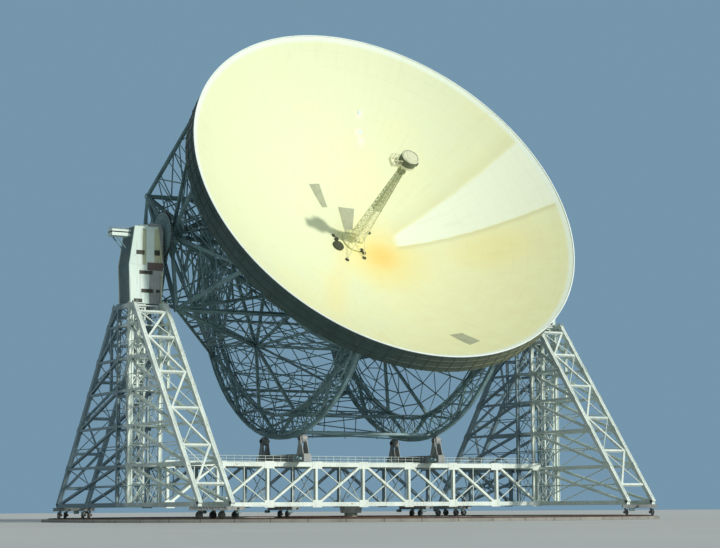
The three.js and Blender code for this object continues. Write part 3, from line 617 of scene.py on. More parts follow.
def dress(made, body, paint, slotName, replaced=(), smooth=None, paintOf=None):
    mesh = made.data
    outwards(mesh)
    mesh.materials.clear()
    for one in ([paint] if isinstance(paint, str) else paint):
        mesh.materials.append(paints[one])
    if paintOf and any(paintOf):
        mesh.polygons.foreach_set("material_index", paintOf)
    if smooth:
        mesh.shade_smooth()
        mesh.set_sharp_from_angle(angle=math.radians(smooth))
    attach(made, body)
    if replaced:
        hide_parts(*replaced)


# Geometry node trees for what repeats

def newTree(name, sockets):
    tree = bpy.data.node_groups.new(name, "GeometryNodeTree")
    tree.interface.new_socket("Geometry", in_out="INPUT", socket_type="NodeSocketGeometry")
    for label, kind in (*sockets, ("Material", "Material")):
        tree.interface.new_socket(label, in_out="INPUT", socket_type="NodeSocket" + kind)
    tree.interface.new_socket("Geometry", in_out="OUTPUT", socket_type="NodeSocketGeometry")
    bench = Bench(tree)
    return bench, bench.add("NodeGroupInput")


def closeTree(bench, geometry, given):
    whole = bench.add("GeometryNodeRealizeInstances", None, {"Geometry": geometry})
    painted = bench.add("GeometryNodeSetMaterial", None, {"Geometry": whole, "Material": given.out("Material")})
    bench.add("NodeGroupOutput", None, {"Geometry": painted})
    return bench.tree


def makeBarTree():                         # every edge of the base becomes a bar as thick as its points say
    bench, given = newTree("barsOnEdges", [("Sides", "Int")])
    lines = bench.add("GeometryNodeMeshToCurve", None, {"Mesh": given.out("Geometry")})
    thickness = bench.attribute("thickness", "FLOAT")
    ring = bench.add("GeometryNodeCurvePrimitiveCircle", None, {"Resolution": given.out("Sides"), "Radius": 0.62})
    solid = bench.add("GeometryNodeCurveToMesh", None,
                      {"Curve": lines, "Profile Curve": ring, "Scale": thickness, "Fill Caps": True})
    return closeTree(bench, solid, given)


def makeBoltTree():                        # a six-sided bolt head on each point, along its own direction
    bench, given = newTree("boltsOnPoints", [("Radius", "Float"), ("Height", "Float")])
    head = bench.add("GeometryNodeMeshCylinder", {"fill_type": "NGON"},
                     {"Vertices": 6, "Radius": given.out("Radius"), "Depth": given.out("Height")})
    turn = bench.add("FunctionNodeAlignRotationToVector", {"axis": "Z"}, {"Vector": bench.attribute("way")})
    put = bench.add("GeometryNodeInstanceOnPoints", None,
                    {"Points": given.out("Geometry"), "Instance": head, "Rotation": turn})
    return closeTree(bench, put, given)


def makeBlockTree():                       # a block on each point: its height along way, its length along run
    bench, given = newTree("blocksOnPoints", [("Size", "Vector")])
    block = bench.add("GeometryNodeMeshCube", None, {"Size": given.out("Size")})
    turn = bench.add("FunctionNodeAxesToRotation", {"primary_axis": "Z", "secondary_axis": "X"},
                     {0: bench.attribute("way"), 1: bench.attribute("run")})
    put = bench.add("GeometryNodeInstanceOnPoints", None,
                    {"Points": given.out("Geometry"), "Instance": block, "Rotation": turn})
    return closeTree(bench, put, given)


def makeRailingTree():                     # posts and three rails along the edges of the base
    bench, given = newTree("railingOnPath", [("Height", "Float"), ("Spacing", "Float"), ("Tube", "Float")])
    path = bench.add("GeometryNodeMeshToCurve", None, {"Mesh": given.out("Geometry")})
    even = bench.add("GeometryNodeResampleCurve", {"mode": "LENGTH"},
                     {"Curve": path, "Length": given.out("Spacing")})
    post = bench.add("GeometryNodeMeshCylinder", {"fill_type": "NGON"},
                     {"Vertices": 6, "Radius": given.out("Tube"), "Depth": given.out("Height")})

    def lifted(geometry, share):
        up = bench.add("ShaderNodeCombineXYZ", None, {2: given.out("Height") * share})
        return bench.add("GeometryNodeTransform", None, {"Geometry": geometry, "Translation": up})

    raised = lifted(post, 0.5)
    posts = bench.add("GeometryNodeInstanceOnPoints", None, {"Points": even, "Instance": raised})
    ring = bench.add("GeometryNodeCurvePrimitiveCircle", None, {"Resolution": 6, "Radius": given.out("Tube")})
    kept = [posts]
    for share in (1.0, 0.55, 0.12):
        kept.append(bench.add("GeometryNodeCurveToMesh", None,
                              {"Curve": lifted(path, share), "Profile Curve": ring, "Fill Caps": True}))
    return closeTree(bench, bench.add("GeometryNodeJoinGeometry", None, {0: kept}), given)


trees = {"bars": makeBarTree(), "bolts": makeBoltTree(), "blocks": makeBlockTree(), "railing": makeRailingTree()}


# Runs a tree on points and edges given in real metres, and keeps the plain mesh
def grown(name, treeName, body, points, paint, slotName, edges=(), attributes=None, **values):
    matrix = np.array(bowlToModel if body == "bowl" else groundToModel)
    base = bpy.data.meshes.new(name)
    base.from_pydata((np.asarray(points, float) @ matrix[:3, :3].T + matrix[:3, 3]).tolist(), list(edges), [])
    for key, rows in (attributes or {}).items():
        rows = np.asarray(rows, np.float32)
        if rows.ndim == 1:
            base.attributes.new(key, "FLOAT", "POINT").data.foreach_set("value", rows * unit)
        else:
            turned = rows @ (matrix[:3, :3] / unit).T.astype(np.float32)
            base.attributes.new(key, "FLOAT_VECTOR", "POINT").data.foreach_set("vector", turned.ravel())
    carrier = bpy.data.objects.new(name, base)
    bpy.context.scene.collection.objects.link(carrier)
    modifier = carrier.modifiers.new("grow", "NODES")
    modifier.node_group = trees[treeName]
    values["Material"] = paints[paint]
    for item in trees[treeName].interface.items_tree:
        if item.item_type == "SOCKET" and item.in_out == "INPUT" and item.name in values:
            modifier[item.identifier] = values[item.name]
    depsgraph = bpy.context.evaluated_depsgraph_get()
    made = bpy.data.meshes.new_from_object(carrier.evaluated_get(depsgraph), depsgraph=depsgraph)
    carrier.modifiers.clear()
    carrier.data = made
    made.name = name
    dress(carrier, body, paint, slotName)


# Blocks with their height along the first direction and their length along the second
def addBlocks(name, body, points, ways, runs, size, paint, slotName):
    given = {key: np.broadcast_to(rows, (len(points), 3)) for key, rows in (("way", ways), ("run", runs))}
    grown(name, "blocks", body, points, paint, slotName, attributes=given, Size=size)


def addBolts(name, body, points, ways, radius, height, paint, slotName):
    grown(name, "bolts", body, points, paint, slotName,
          attributes={"way": np.broadcast_to(ways, (len(points), 3))}, Radius=radius, Height=height)


# Many thin bars for the tree that makes bars on edges
class Rods:
    def __init__(self):
        self.points, self.edges, self.thickness = [], [], []

    def add(self, start, end, thickness):
        self.edges.append((len(self.points), len(self.points) + 1))
        self.points += [tuple(start), tuple(end)]
        self.thickness += [thickness, thickness]

    def chain(self, points, thickness):
        for start, end in zip(points, points[1:]):
            self.add(start, end, thickness)

    def piece(self, name, body, paint, slotName):
        grown(name, "bars", body, self.points, paint, slotName, self.edges, {"thickness": self.thickness}, Sides=4)


print("helpers ready")


# Floor and studio light

studio = {
    "floorRadius": 185, "floorColor": (0.63, 0.65, 0.63, 1), "floorShade": (0.60, 0.62, 0.605, 1),
    "world": (0.285, 0.49, 0.66, 1), "worldStrength": 0.62, "ambient": (0.36, 0.47, 0.54, 1), "ambientStrength": 0.42,
    "keyFrom": (0.294, -0.873, 0.390), "keyColor": (1.0, 0.95, 0.86), "keyStrength": 2.36, "keyAngle": 3,
    "fillFrom": (0.12, -0.93, 0.33), "fillColor": (0.86, 0.95, 1.0), "fillStrength": 0.55, "fillAngle": 24,
    "backFrom": (0.35, 0.80, 0.49), "backColor": (0.86, 0.93, 1.0), "backStrength": 0.5, "backAngle": 70,
}


def addStudio(s):
    bench, point, finish = newMaterial("studioFloor")
    broad = bench.noise(point, 3.0, 3)
    fine = bench.noise(point, 0.05, 3)
    paints["studioFloor"] = finish(bench.mix(bench.rise(broad, 0.3, 0.7), s["floorColor"], s["floorShade"]),
                                   0.85 + fine * 0.1, bench.bump(fine, 0.1, 0.002))
    sides = 96
    mesh = bpy.data.meshes.new("studioFloor")
    mesh.from_pydata([polar(s["floorRadius"], a, -0.001) for a in anglesOf(sides)], [], [list(range(sides))])
    mesh.materials.append(paints["studioFloor"])
    ground = bpy.data.objects.new("studioFloor", mesh)
    bpy.context.scene.collection.objects.link(ground)
    for name in ("key", "fill", "back"):
        data = bpy.data.lights.new(name + "Light", "SUN")
        data.energy, data.angle = s[name + "Strength"], math.radians(s[name + "Angle"])
        data.color = s[name + "Color"]
        lamp = bpy.data.objects.new(name + "Light", data)
        lamp.rotation_euler = Vector(s[name + "From"]).to_track_quat("Z", "Y").to_euler()
        bpy.context.scene.collection.objects.link(lamp)
    world = bpy.data.worlds.new("studio")
    world.use_nodes = True
    bench = Bench(world.node_tree)
    seen = bench.add("ShaderNodeLightPath", None, {}, "Is Camera Ray")
    walls = [bench.add("ShaderNodeBackground", None, {"Color": s[name], "Strength": s[name + "Strength"]})
             for name in ("ambient", "world")]
    mixed = bench.add("ShaderNodeMixShader", None, {0: seen, 1: walls[0], 2: walls[1]})
    world.node_tree.links.new(mixed.socket, world.node_tree.nodes["World Output"].inputs["Surface"])
    bpy.context.scene.world = world
    bpy.context.scene.view_settings.view_transform = "Standard"


addStudio(studio)


# Finishes of the CAD nodes that keep their mesh

cadPaints = {
    "castConcrete": ["centre_pivot_post"],
    "greySteelPaint": ["pivot_bearing", "diametral_girder_floor", "diametral_girder_deck"]
    + [f"{end}_{side}_bogie" for end in ("front", "rear", "centre") for side, _ in bothSides]
    + [side + part for side, _ in bothSides for part in ("_wheel_cradle", "_trunnion_bearing")],
    "whiteSteelPaint": ["diametral_girder_front", "diametral_girder_rear"]
    + [side + part for side, _ in bothSides for part in ("_tower_front_bracing", "_tower_rear_bracing", "_lift_shaft")],
    "slateSteelPaint": ["rib_frame", "wheel_cross_bracing"]
    + [side + part for side, _ in bothSides for part in ("_wheel_girder", "_trunnion")],
}

for paint, names in cadPaints.items():
    for name in names:
        for holder in cadNodes[name].material_slots:
            holder.material = paints[paint]


# Ring foundations and rails, smooth, with the clips that hold the rails

groundWorks = {
    "track": {"middle": 52.7, "half": 3.6, "rails": {"outer": 55.0, "inner": 50.4}, "clips": 360, "segments": 240},
    "centre": {"middle": 14.0, "half": 1.6, "rails": {"centre": 14.0}, "clips": 96, "segments": 120},
    "top": 0.5, "edge": 0.12, "seatGap": 0.004, "railHalf": 0.12, "clipOut": 0.17, "clipUp": 0.03,
    "clipSize": (0.016, 0.022, 0.006),
}


def addGroundWorks(g):
    for name in ("track", "centre"):
        ring = g[name]
        low, high, top, edge = ring["middle"] - ring["half"], ring["middle"] + ring["half"], g["top"], g["edge"]
        bed = Shape()
        bed.hoop([(low, 0), (high, 0), (high, top - edge), (high - edge, top), (low + edge, top), (low, top - edge)],
                 ring["segments"])
        bed.piece(name + "RingFoundation", "track", "castConcrete", "concrete", [name + "_foundation"], 25)
        half, web, head = g["railHalf"], g["railHalf"] * 0.3, g["railHalf"] * 0.62
        section = [(half, 0), (half, 0.03), (web, 0.05), (web, 0.1), (head, 0.115), (head, 0.156)]
        section = [(-half, 0), *section, *[(-r, z) for r, z in section[:0:-1]]]
        points, run = [], []
        for railName, radius in ring["rails"].items():
            rail = Shape()
            rail.hoop([(radius + r, top + g["seatGap"] + z) for r, z in section], ring["segments"])
            rail.piece(railName.title() + "RailTrack", "track", "railSteel", "rail_steel", [railName + "_rail"])
            for side in bothEnds:
                for a in anglesOf(ring["clips"], 0.5):
                    points.append(polar(radius + side * g["clipOut"], a, top + g["clipUp"]))
                    run.append(polar(1, a))
        addBlocks(name + "RailClips", "track", points, (0, 0, 1), run, g["clipSize"], "darkSteelPaint", "rail_steel")


addGroundWorks(groundWorks)
print("ground works made")


# Dish: cream surface with its repair plates and marks

dish = {
    "skin": 0.12, "segments": 192, "stations": 20,
    "greyPlates": [[(-7.4, 11.6), (-5.0, 12.1), (-4.1, 7.3), (-5.3, 7.1)],
                   [(-1.6, 7.7), (1.8, 7.6), (0.2, 2.3), (-1.5, 2.1)],
                   [(6.5, -28.2), (9.1, -27.8), (10.3, -31.3), (7.5, -32.6)]],
    "whitePlates": [(5.1, 26.3), (5.2, 22.9)], "whiteHalf": 0.35,
}


def frontHeight(r):
    return surfaceRim - (dishRadius ** 2 - r * r) / surfaceCurve


def oldHeight(r):
    return membraneRim - (dishRadius ** 2 - r * r) / membraneCurve


def onDish(shape, corners, thickness, cells=5):
    a, b, c, d = (np.array(p, float) for p in corners)
    top = np.zeros((cells + 1, cells + 1, 3))
    for i in range(cells + 1):
        for j in range(cells + 1):
            s, t = i / cells, j / cells
            x, u = (a * (1 - s) + b * s) * (1 - t) + (d * (1 - s) + c * s) * t
            top[i, j] = (x, u, frontHeight(math.hypot(x, u)) + thickness)
    shape.plate(top, top - (0, 0, thickness + 0.02))


def addDish(d):
    radii = np.linspace(0, surfaceEdge, d["stations"] + 1)
    shell = Shape()
    shell.turned([(r, frontHeight(r)) for r in radii] + [(r, frontHeight(r) - d["skin"]) for r in radii[::-1]],
                 d["segments"])
    shell.piece("dishSurface", "bowl", "dishPaint", "reflector_paint", ["reflector_surface"], 30)
    plates = Shape()
    for corners in d["greyPlates"]:
        onDish(plates, corners, 0.05)
    plates.piece("dishRepairPlates", "bowl", "patchPaint", "reflector_paint")
    marks, half = Shape(), d["whiteHalf"]
    for x, u in d["whitePlates"]:
        onDish(marks, [(x - half, u - half), (x + half, u - half), (x + half, u + half), (x - half, u + half)], 0.06, 2)
    marks.piece("dishTargetPlates", "bowl", "claddingPaint", "reflector_paint")


addDish(dish)


# Rim: dark band with a pale lip whose bluish white is painted highlight, ribs on its outside and a flange below

rim = {
    "inner": 37.88, "wall": 38.0, "low": 13.58, "lipLow": 17.98, "lipTop": 18.14, "flange": 37.5, "flangeTop": 0.16,
    "hoops": (14.9, 16.6), "hoopOut": 38.05, "segments": 192, "ribs": 96, "ribSize": (0.012, 0.018, 0.43),
}


def addRim(r):
    inner, wall, low, lipLow, lipTop = (r[name] for name in ("inner", "wall", "low", "lipLow", "lipTop"))
    band = Shape()
    band.hoop([(inner, low), (wall - 0.04, low), (wall, lipLow), (inner, lipLow)], r["segments"])
    band.hoop([(r["flange"], low + 0.02), (inner + 0.02, low + 0.02), (inner + 0.02, low + r["flangeTop"]),
               (r["flange"], low + r["flangeTop"])], r["segments"])
    for z in r["hoops"]:
        band.hoop([(wall - 0.06, z - 0.1), (r["hoopOut"], z - 0.09), (r["hoopOut"], z + 0.09), (wall - 0.06, z + 0.1)],
                  r["segments"])
    band.piece("rimBandWall", "bowl", "oliveSteelPaint", "olive_steel", ["rim_band"], 30)
    lip = Shape()
    lip.hoop([(inner, lipLow + 0.01), (dishRadius - 0.01, lipLow + 0.01), (dishRadius, lipTop), (inner + 0.01, lipTop)],
             r["segments"])
    lip.piece("rimLip", "bowl", "rimLipPaint", "white_steel", smooth=30)
    around = anglesOf(r["ribs"], 0.5)
    addBlocks("rimBandRibs", "bowl", [polar(wall, a, (low + lipLow) / 2) for a in around], (0, 0, 1),
              [polar(1, a) for a in around], r["ribSize"], "oliveSteelPaint", "olive_steel")


addRim(rim)


# Old membrane behind the surface, with its ring purlins

membrane = {"skin": 0.12, "edge": 37.86, "segments": 144, "stations": 14, "purlins": (8, 11, 17, 20, 25, 28, 32, 35)}


def addMembrane(m):
    radii = np.linspace(0, m["edge"], m["stations"] + 1)
    shell = Shape()
    shell.turned([(r, oldHeight(r)) for r in radii] + [(r, oldHeight(r) - m["skin"]) for r in radii[::-1]],
                 m["segments"])
    shell.piece("oldMembrane", "bowl", "membranePaint", "olive_steel", ["rear_membrane"], 30)
    rings = Shape()
    for r in m["purlins"]:
        z, half = oldHeight(r) - m["skin"], 0.09
        rings.hoop([(r - half, z - 0.24), (r + half, z - 0.24), (r + half, z + 0.02), (r - half, z + 0.02)], 96)
    rings.piece("membranePurlins", *bowlSteel, smooth=30)


addMembrane(membrane)
print("dish, rim and membrane made")


# Lattice behind the bowl: the main ribs' webs, lighter ribs between them, rings and cross bracing

backLattice = {
    "planes": 48, "perMainRib": 4, "radii": (5.4, 9.7, 14, 18, 22, 26, 30, 33.6, 37.2), "lightDepth": 0.62,
    "chord": 0.24, "web": 0.18, "ring": 0.17, "cross": 0.13,
}
ribNodes = [(5.4, -7.4), (14, -6.4), (22, -1.6), (30, 6.2), (37.2, 14.7)]


def rearHeight(r):
    return float(np.interp(r, [node[0] for node in ribNodes], [node[1] for node in ribNodes]))


def addBackLattice(b):
    lattice = Rods()
    rearRows, frontRows = [], []
    for k, a in enumerate(anglesOf(b["planes"])):
        main = k % b["perMainRib"] == 0
        share = 1 if main else b["lightDepth"] + 0.2 * (k % 2 == 0)
        rear, front = [], []
        for r in b["radii"]:
            skinLow = oldHeight(r) - 0.2
            z = skinLow + (rearHeight(r) - skinLow) * share
            rear.append(polar(r, a, z))
            front.append(polar(r, a, skinLow))
        rearRows.append(rear)
        frontRows.append(front)
        if not main:
            lattice.chain(rear, b["chord"])
        lattice.chain(front, b["chord"] * 0.8)
        for i in range(len(rear)):
            lattice.add(rear[i], front[i], b["web"])
            if i:
                lattice.add(*((rear[i - 1], front[i]) if i % 2 else (front[i - 1], rear[i])), b["web"])
    for k in range(b["planes"]):
        after = (k + 1) % b["planes"]
        for i in range(len(b["radii"])):
            lattice.add(rearRows[k][i], rearRows[after][i], b["ring"])
            lattice.add(frontRows[k][i], frontRows[after][i], b["ring"])
            if i:
                first, second = (rearRows[k][i - 1], rearRows[after][i]) if (k + i) % 2 else (
                    rearRows[after][i - 1], rearRows[k][i])
                lattice.add(first, second, b["cross"])
                if i > 3:
                    lattice.add(rearRows[k][i], frontRows[after][i], b["cross"])
    lattice.piece("bowlBackLattice", *bowlSteel)


addBackLattice(backLattice)


# Truss round the rim, between the band's foot and the ribs' ends

rimTruss = {"bays": 96, "radius": 37.4, "low": 13.2, "high": 16.9, "chord": 0.24, "web": 0.14}


def addRimTruss(t):
    truss = Rods()
    points = [[polar(t["radius"], a, z) for z in (t["low"], t["high"])] for a in anglesOf(t["bays"])]
    for i, (low, high) in enumerate(points):
        nextLow, nextHigh = points[(i + 1) % t["bays"]]
        truss.add(low, nextLow, t["chord"])
        truss.add(low, high, t["web"])
        truss.add(*((low, nextHigh) if i % 2 else (high, nextLow)), t["web"])
    truss.piece("rimTruss", *bowlSteel)


addRimTruss(rimTruss)


# Wheel girders: a second plane either side of the main one, lacing, and lighter spokes

wheel = {
    "bays": 16, "depth": 4, "outerStart": 69.5, "innerStart": 72.8, "hub": (9.5, -19.0), "planes": (-0.95, 0.95),
    "outerRadius": 35.1, "chord": 0.3, "web": 0.2, "cross": 0.15, "spoke": 0.22, "shares": (0.34, 0.62, 0.82),
    "front": [(12.6, 33.2), (5, 26), (0, 20), (-4.4, 13), (-7.6, 0)],
}


def wheelPoint(x, radius, bay):
    w = wheel
    start = w["outerStart"] if radius > wheelRadius - w["depth"] / 2 else w["innerStart"]
    angle = math.radians(start + (360 - 2 * start) * bay / w["bays"])
    return np.array((x, radius * math.sin(angle), radius * math.cos(angle)))


# The joint at which the spokes of one half of a wheel girder meet
def wheelHub(x, way):
    y, z = wheel["hub"]
    return np.array((x, way * y, z))


def addWheelGirders(w):
    innerRadius = wheelRadius - w["depth"]
    for name, side in bothSides:
        lace = Rods()
        middle = side * wheelOffset
        for offset in w["planes"]:
            x = middle + offset
            steps = [i / 2 for i in range(2 * w["bays"] + 1)]
            outer = [wheelPoint(x, w["outerRadius"], s) for s in steps]
            inner = [wheelPoint(x, innerRadius, s) for s in steps]
            lace.chain(outer, w["chord"])
            lace.chain(inner, w["chord"])
            for i in range(len(steps)):
                lace.add(outer[i], inner[i], w["web"])
                if i:
                    lace.add(outer[i - 1], inner[i], w["cross"])
                    lace.add(inner[i - 1], outer[i], w["cross"])
        for radius in (w["outerRadius"], innerRadius):
            rows = [[wheelPoint(middle + offset, radius, i / 2) for i in range(2 * w["bays"] + 1)]
                    for offset in w["planes"]]
            for i, (one, two) in enumerate(zip(*rows)):
                lace.add(one, two, w["web"])
                if i:
                    lace.add(*((rows[0][i - 1], two) if i % 2 else (rows[1][i - 1], one)), w["cross"])
        for way in bothEnds:
            hub = wheelHub(middle, way)
            spokes = [wheelPoint(middle, innerRadius, bay if way > 0 else w["bays"] - bay)
                      for bay in range(1, w["bays"] // 2 + 1)]
            ends = [np.array((middle, way * y, z)) for z, y in w["front"]] + spokes
            for end in ends:
                lace.add(hub, end, w["spoke"])
            for share in w["shares"]:
                lace.chain([hub + (end - hub) * share for end in ends], w["web"])
            stages = list(zip(w["shares"], (*w["shares"][1:], 1)))
            pairs = [(a, b, low, high) for a, b in zip(spokes, spokes[1:]) for low, high in stages]
            pairs += [(a, b, high, low) for a, b in zip(ends, ends[1:5]) for low, high in stages]
            for first, second, near, far in pairs:
                lace.add(hub + (first - hub) * near, hub + (second - hub) * far, w["cross"])
        lace.piece(name + "WheelLacing", *bowlSteel)


addWheelGirders(wheel)
print("back lattice and wheel girders made")


# Cross bracing between the wheel girders and lattice on the trunnion frames

span = {"web": 0.22, "cross": 0.17, "first": 3, "trunnionX": 36.6, "cornerY": 13, "cornerZ": -4.5, "fine": 0.2}
hubX, wheelFootZ = 36.4, -4.4
ribJoints = (22, 37.2)


def addSpanBracing(s):
    lace = Rods()
    innerRadius = wheelRadius - wheel["depth"]
    half = wheelOffset - 0.3
    for i in range(s["first"], wheel["bays"] - s["first"]):
        for radius in (wheelRadius, innerRadius):
            a, b = wheelPoint(-half, radius, i), wheelPoint(half, radius, i + 1)
            c, d = wheelPoint(half, radius, i), wheelPoint(-half, radius, i + 1)
            middle = (a + b + c + d) / 4
            for corner in (a, b, c, d):
                lace.add(corner, middle, s["cross"])
        lace.add(wheelPoint(-half, innerRadius, i), wheelPoint(half, innerRadius, i), s["web"])
        for share in (-0.5, 0, 0.5):
            lace.add(wheelPoint(share * half, innerRadius, i), wheelPoint(share * half, wheelRadius, i), s["cross"])
    for way in bothEnds:
        low, high, reach = wheelHub(0, way), np.array((0, way * s["cornerY"], wheelFootZ)), np.array((half, 0, 0))
        for x0, x1 in ((-1, 0), (0, 1)):
            lace.add(low + reach * x0, high + reach * x1, s["cross"])
            lace.add(high + reach * x0, low + reach * x1, s["cross"])
        lace.add(low - reach, low + reach, s["web"])
    lace.piece("wheelSpanLacing", *bowlSteel)


addSpanBracing(span)


def ribPoint(angle, r):
    return polar(r, math.radians(angle), rearHeight(r))


# Zigzag between two lines that start and end in the given points
def zigzag(rods, first, second, bays, thickness):
    one = [first[0] + (first[1] - first[0]) * i / bays for i in range(bays + 1)]
    two = [second[0] + (second[1] - second[0]) * i / bays for i in range(bays + 1)]
    for i in range(bays):
        rods.add(*((one[i], two[i + 1]) if i % 2 else (two[i], one[i + 1])), thickness)
        if i:
            rods.add(one[i], two[i], thickness)


def addTrunnionLacing(s):
    for name, side in bothSides:
        lace = Rods()
        mirror = np.array((side, 1, 1))
        hub = np.array((hubX, 0, 0)) * mirror
        rear = np.array((wheelOffset, 0, -wheelRadius)) * mirror
        mids, rims = ({angle: ribPoint(angle, r) * mirror for angle in (-30, -15, 0, 15, 30)} for r in ribJoints)
        for up in bothEnds:
            corner = np.array((s["trunnionX"], up * s["cornerY"], s["cornerZ"])) * mirror
            webHub = wheelHub(side * wheelOffset, up)
            foot = np.array((wheelOffset, up * s["cornerY"], wheelFootZ)) * mirror
            rim, mid = rims[up * 30], mids[up * 30]
            for first, second, bays in (
                    ((corner, rim), (hub, rim), 5), ((hub, rim), (hub, rims[0]), 5),
                    ((corner, mid), (corner, rim), 4), ((hub, mid), (corner, mid), 5),
                    ((hub, mid), (hub, mids[0]), 4), ((hub, mids[0]), (hub, rims[0]), 4),
                    ((corner, webHub), (corner, rear), 8), ((corner, webHub), (corner, foot), 6),
                    ((corner, foot), (hub, foot), 6)):
                zigzag(lace, first, second, bays, s["fine"])
            lace.add(hub, foot, s["web"] * 1.4)
            lace.add(hub, webHub, s["web"] * 1.6)
            for angle in (-15, 15):
                lace.add(hub, mids[angle], s["web"])
                lace.add(hub, rims[angle], s["web"])
        zigzag(lace, (hub, webHub), (hub, rear), 7, s["fine"])
        lace.add(hub, rear, s["web"] * 1.6)
        lace.piece(name + "TrunnionLacing", *bowlSteel)


addTrunnionLacing(span)


# Trunnion frames of laced box girders on slender cores, and the block that carries each trunnion

trunnionTruss = {
    "size": 0.42, "chord": 0.48, "light": 0.26, "corner": 0.13, "lace": 0.1, "core": 0.8, "rungs": (0.36, 0.68),
    "blockLow": 35.6, "blockHigh": 37.2, "blockHalf": 1.6, "gusset": 0.6, "plates": (-0.32, 0.26),
}


def addTrunnionTrusses(t):
    for name, side in bothSides:
        made = Shape()

        def place(*point):
            return np.array(point) * (side, 1, 1)

        def girder(start, end, size, normal=(1, 0, 0)):
            end = end - unitVector(end - start) * 0.15
            made.laced(start, end, size, normal, t["corner"], t["lace"], size * 1.9)
            made.bar(start, end, size * t["core"], size * t["core"], normal)

        hub = place(hubX, 0, 0)
        cornerX, cornerY, cornerZ = (span[key] for key in ("trunnionX", "cornerY", "cornerZ"))
        girder(place(cornerX, -cornerY, cornerZ), place(cornerX, cornerY, cornerZ), t["chord"])
        for r in ribJoints:
            girder(hub, ribPoint(0, r) * (side, 1, 1), t["size"], (0, 1, 0))
        for up in bothEnds:
            corner = place(cornerX, up * cornerY, cornerZ)
            webHub = wheelHub(side * wheelOffset, up)
            rear = place(wheelOffset, 0, -wheelRadius)
            for r in ribJoints:
                end = ribPoint(up * 30, r) * (side, 1, 1)
                girder(hub, end, t["size"])
                girder(corner, end, t["size"])
            for start, end in ((hub, corner), (corner, place(wheelOffset, up * cornerY, wheelFootZ)), (corner, rear),
                               (corner, webHub)):
                girder(start, end, t["size"], (0, 0, 1))
            for part in t["rungs"]:
                girder(corner + (webHub - corner) * part, corner + (rear - corner) * part, t["light"])
            for x in (cornerX + offset for offset in t["plates"]):
                outline = [(up * cornerY + t["gusset"] * math.cos(a), cornerZ + t["gusset"] * math.sin(a))
                           for a in np.radians(np.arange(22.5, 382, 45))]
                made.prism(outline, side * x, side * (x + 0.06), (1, 2, 0))
        half = t["blockHalf"]
        low, high = t["blockLow"], t["blockHigh"]
        made.box(place(low, -half + 0.06, -half + 0.06), place(high, half - 0.06, half - 0.06))
        for x in (low, (low + high) / 2 - 0.05, high - 0.1):
            for y in (-1, 1):
                made.box(place(x, y * half, -half), place(x + 0.1, y * (half - 0.08), half))
                made.box(place(x, -half, y * half), place(x + 0.1, half, y * (half - 0.08)))
        made.piece(name + "TrunnionTruss", *bowlSteel, [name + "_trunnion_frame"])


addTrunnionTrusses(trunnionTruss)


# Toothed racks round the trunnions' discs, and rings of bolts

rack = {
    "radius": 4.1, "teeth": 72, "tooth": (0.026, 0.018, 0.036), "low": 37.92, "high": 38.28, "bolts": 24,
    "boltRing": 3.5, "innerShare": 0.72, "bearing": 38.85, "bearingRing": 1.55, "boltRadius": 0.011,
    "boltHeight": 0.012,
}


# A point at a place along the elevation axis, and at a radius and an angle about it
def aboutTrunnion(x, radius, angle, z=0):
    return x, radius * math.cos(angle), z + radius * math.sin(angle)


def addRacks(r):
    for name, side in bothSides:
        middle = side * (r["low"] + r["high"]) / 2
        around = anglesOf(r["teeth"])
        addBlocks(name + "RackTeeth", "bowl", [aboutTrunnion(middle, r["radius"], a) for a in around], (1, 0, 0),
                  [aboutTrunnion(0, 1, a) for a in around], r["tooth"], "darkSteelPaint", "grey_steel")
        rings = ((r["boltRing"], r["high"]), (r["boltRing"] * r["innerShare"], r["high"]),
                 (r["boltRing"], r["low"] - 0.02))
        bolts = [aboutTrunnion(side * face, ring, a) for a in anglesOf(r["bolts"]) for ring, face in rings]
        bearing = [aboutTrunnion(side * r["bearing"], r["bearingRing"], a, axisHeight) for a in anglesOf(16)]
        for part, body, points in (("Rack", "bowl", bolts), ("Bearing", "turntable", bearing)):
            addBolts(name + part + "Bolts", body, points, (side, 0, 0), r["boltRadius"], r["boltHeight"],
                     "darkSteelPaint", "grey_steel")


addRacks(rack)


# Mast: open lattice below, closer and darker above, with the focus drum, a cage beside it and a stage below

mast = {
    "vertex": 2.333, "joint": 12.0, "focus": 25.233, "drumLow": 24.03, "lowHalf": 1.45, "topHalf": 0.5,
    "lowBays": 6, "topBays": 11, "leg": 0.2, "lace": 0.085, "boltRing": 2.42, "drumRadius": 1.7, "drumHigh": 1.3,
    "drumPale": 1.0, "drumPaints": ["mastPaint", "drumShadeSidePaint", "mastShadePaint"], "cageX": (-3.3, -1.62),
    "cageHalf": 0.9, "stageDown": 1.7, "stageRadius": 0.75, "stageHeight": 0.6,
}


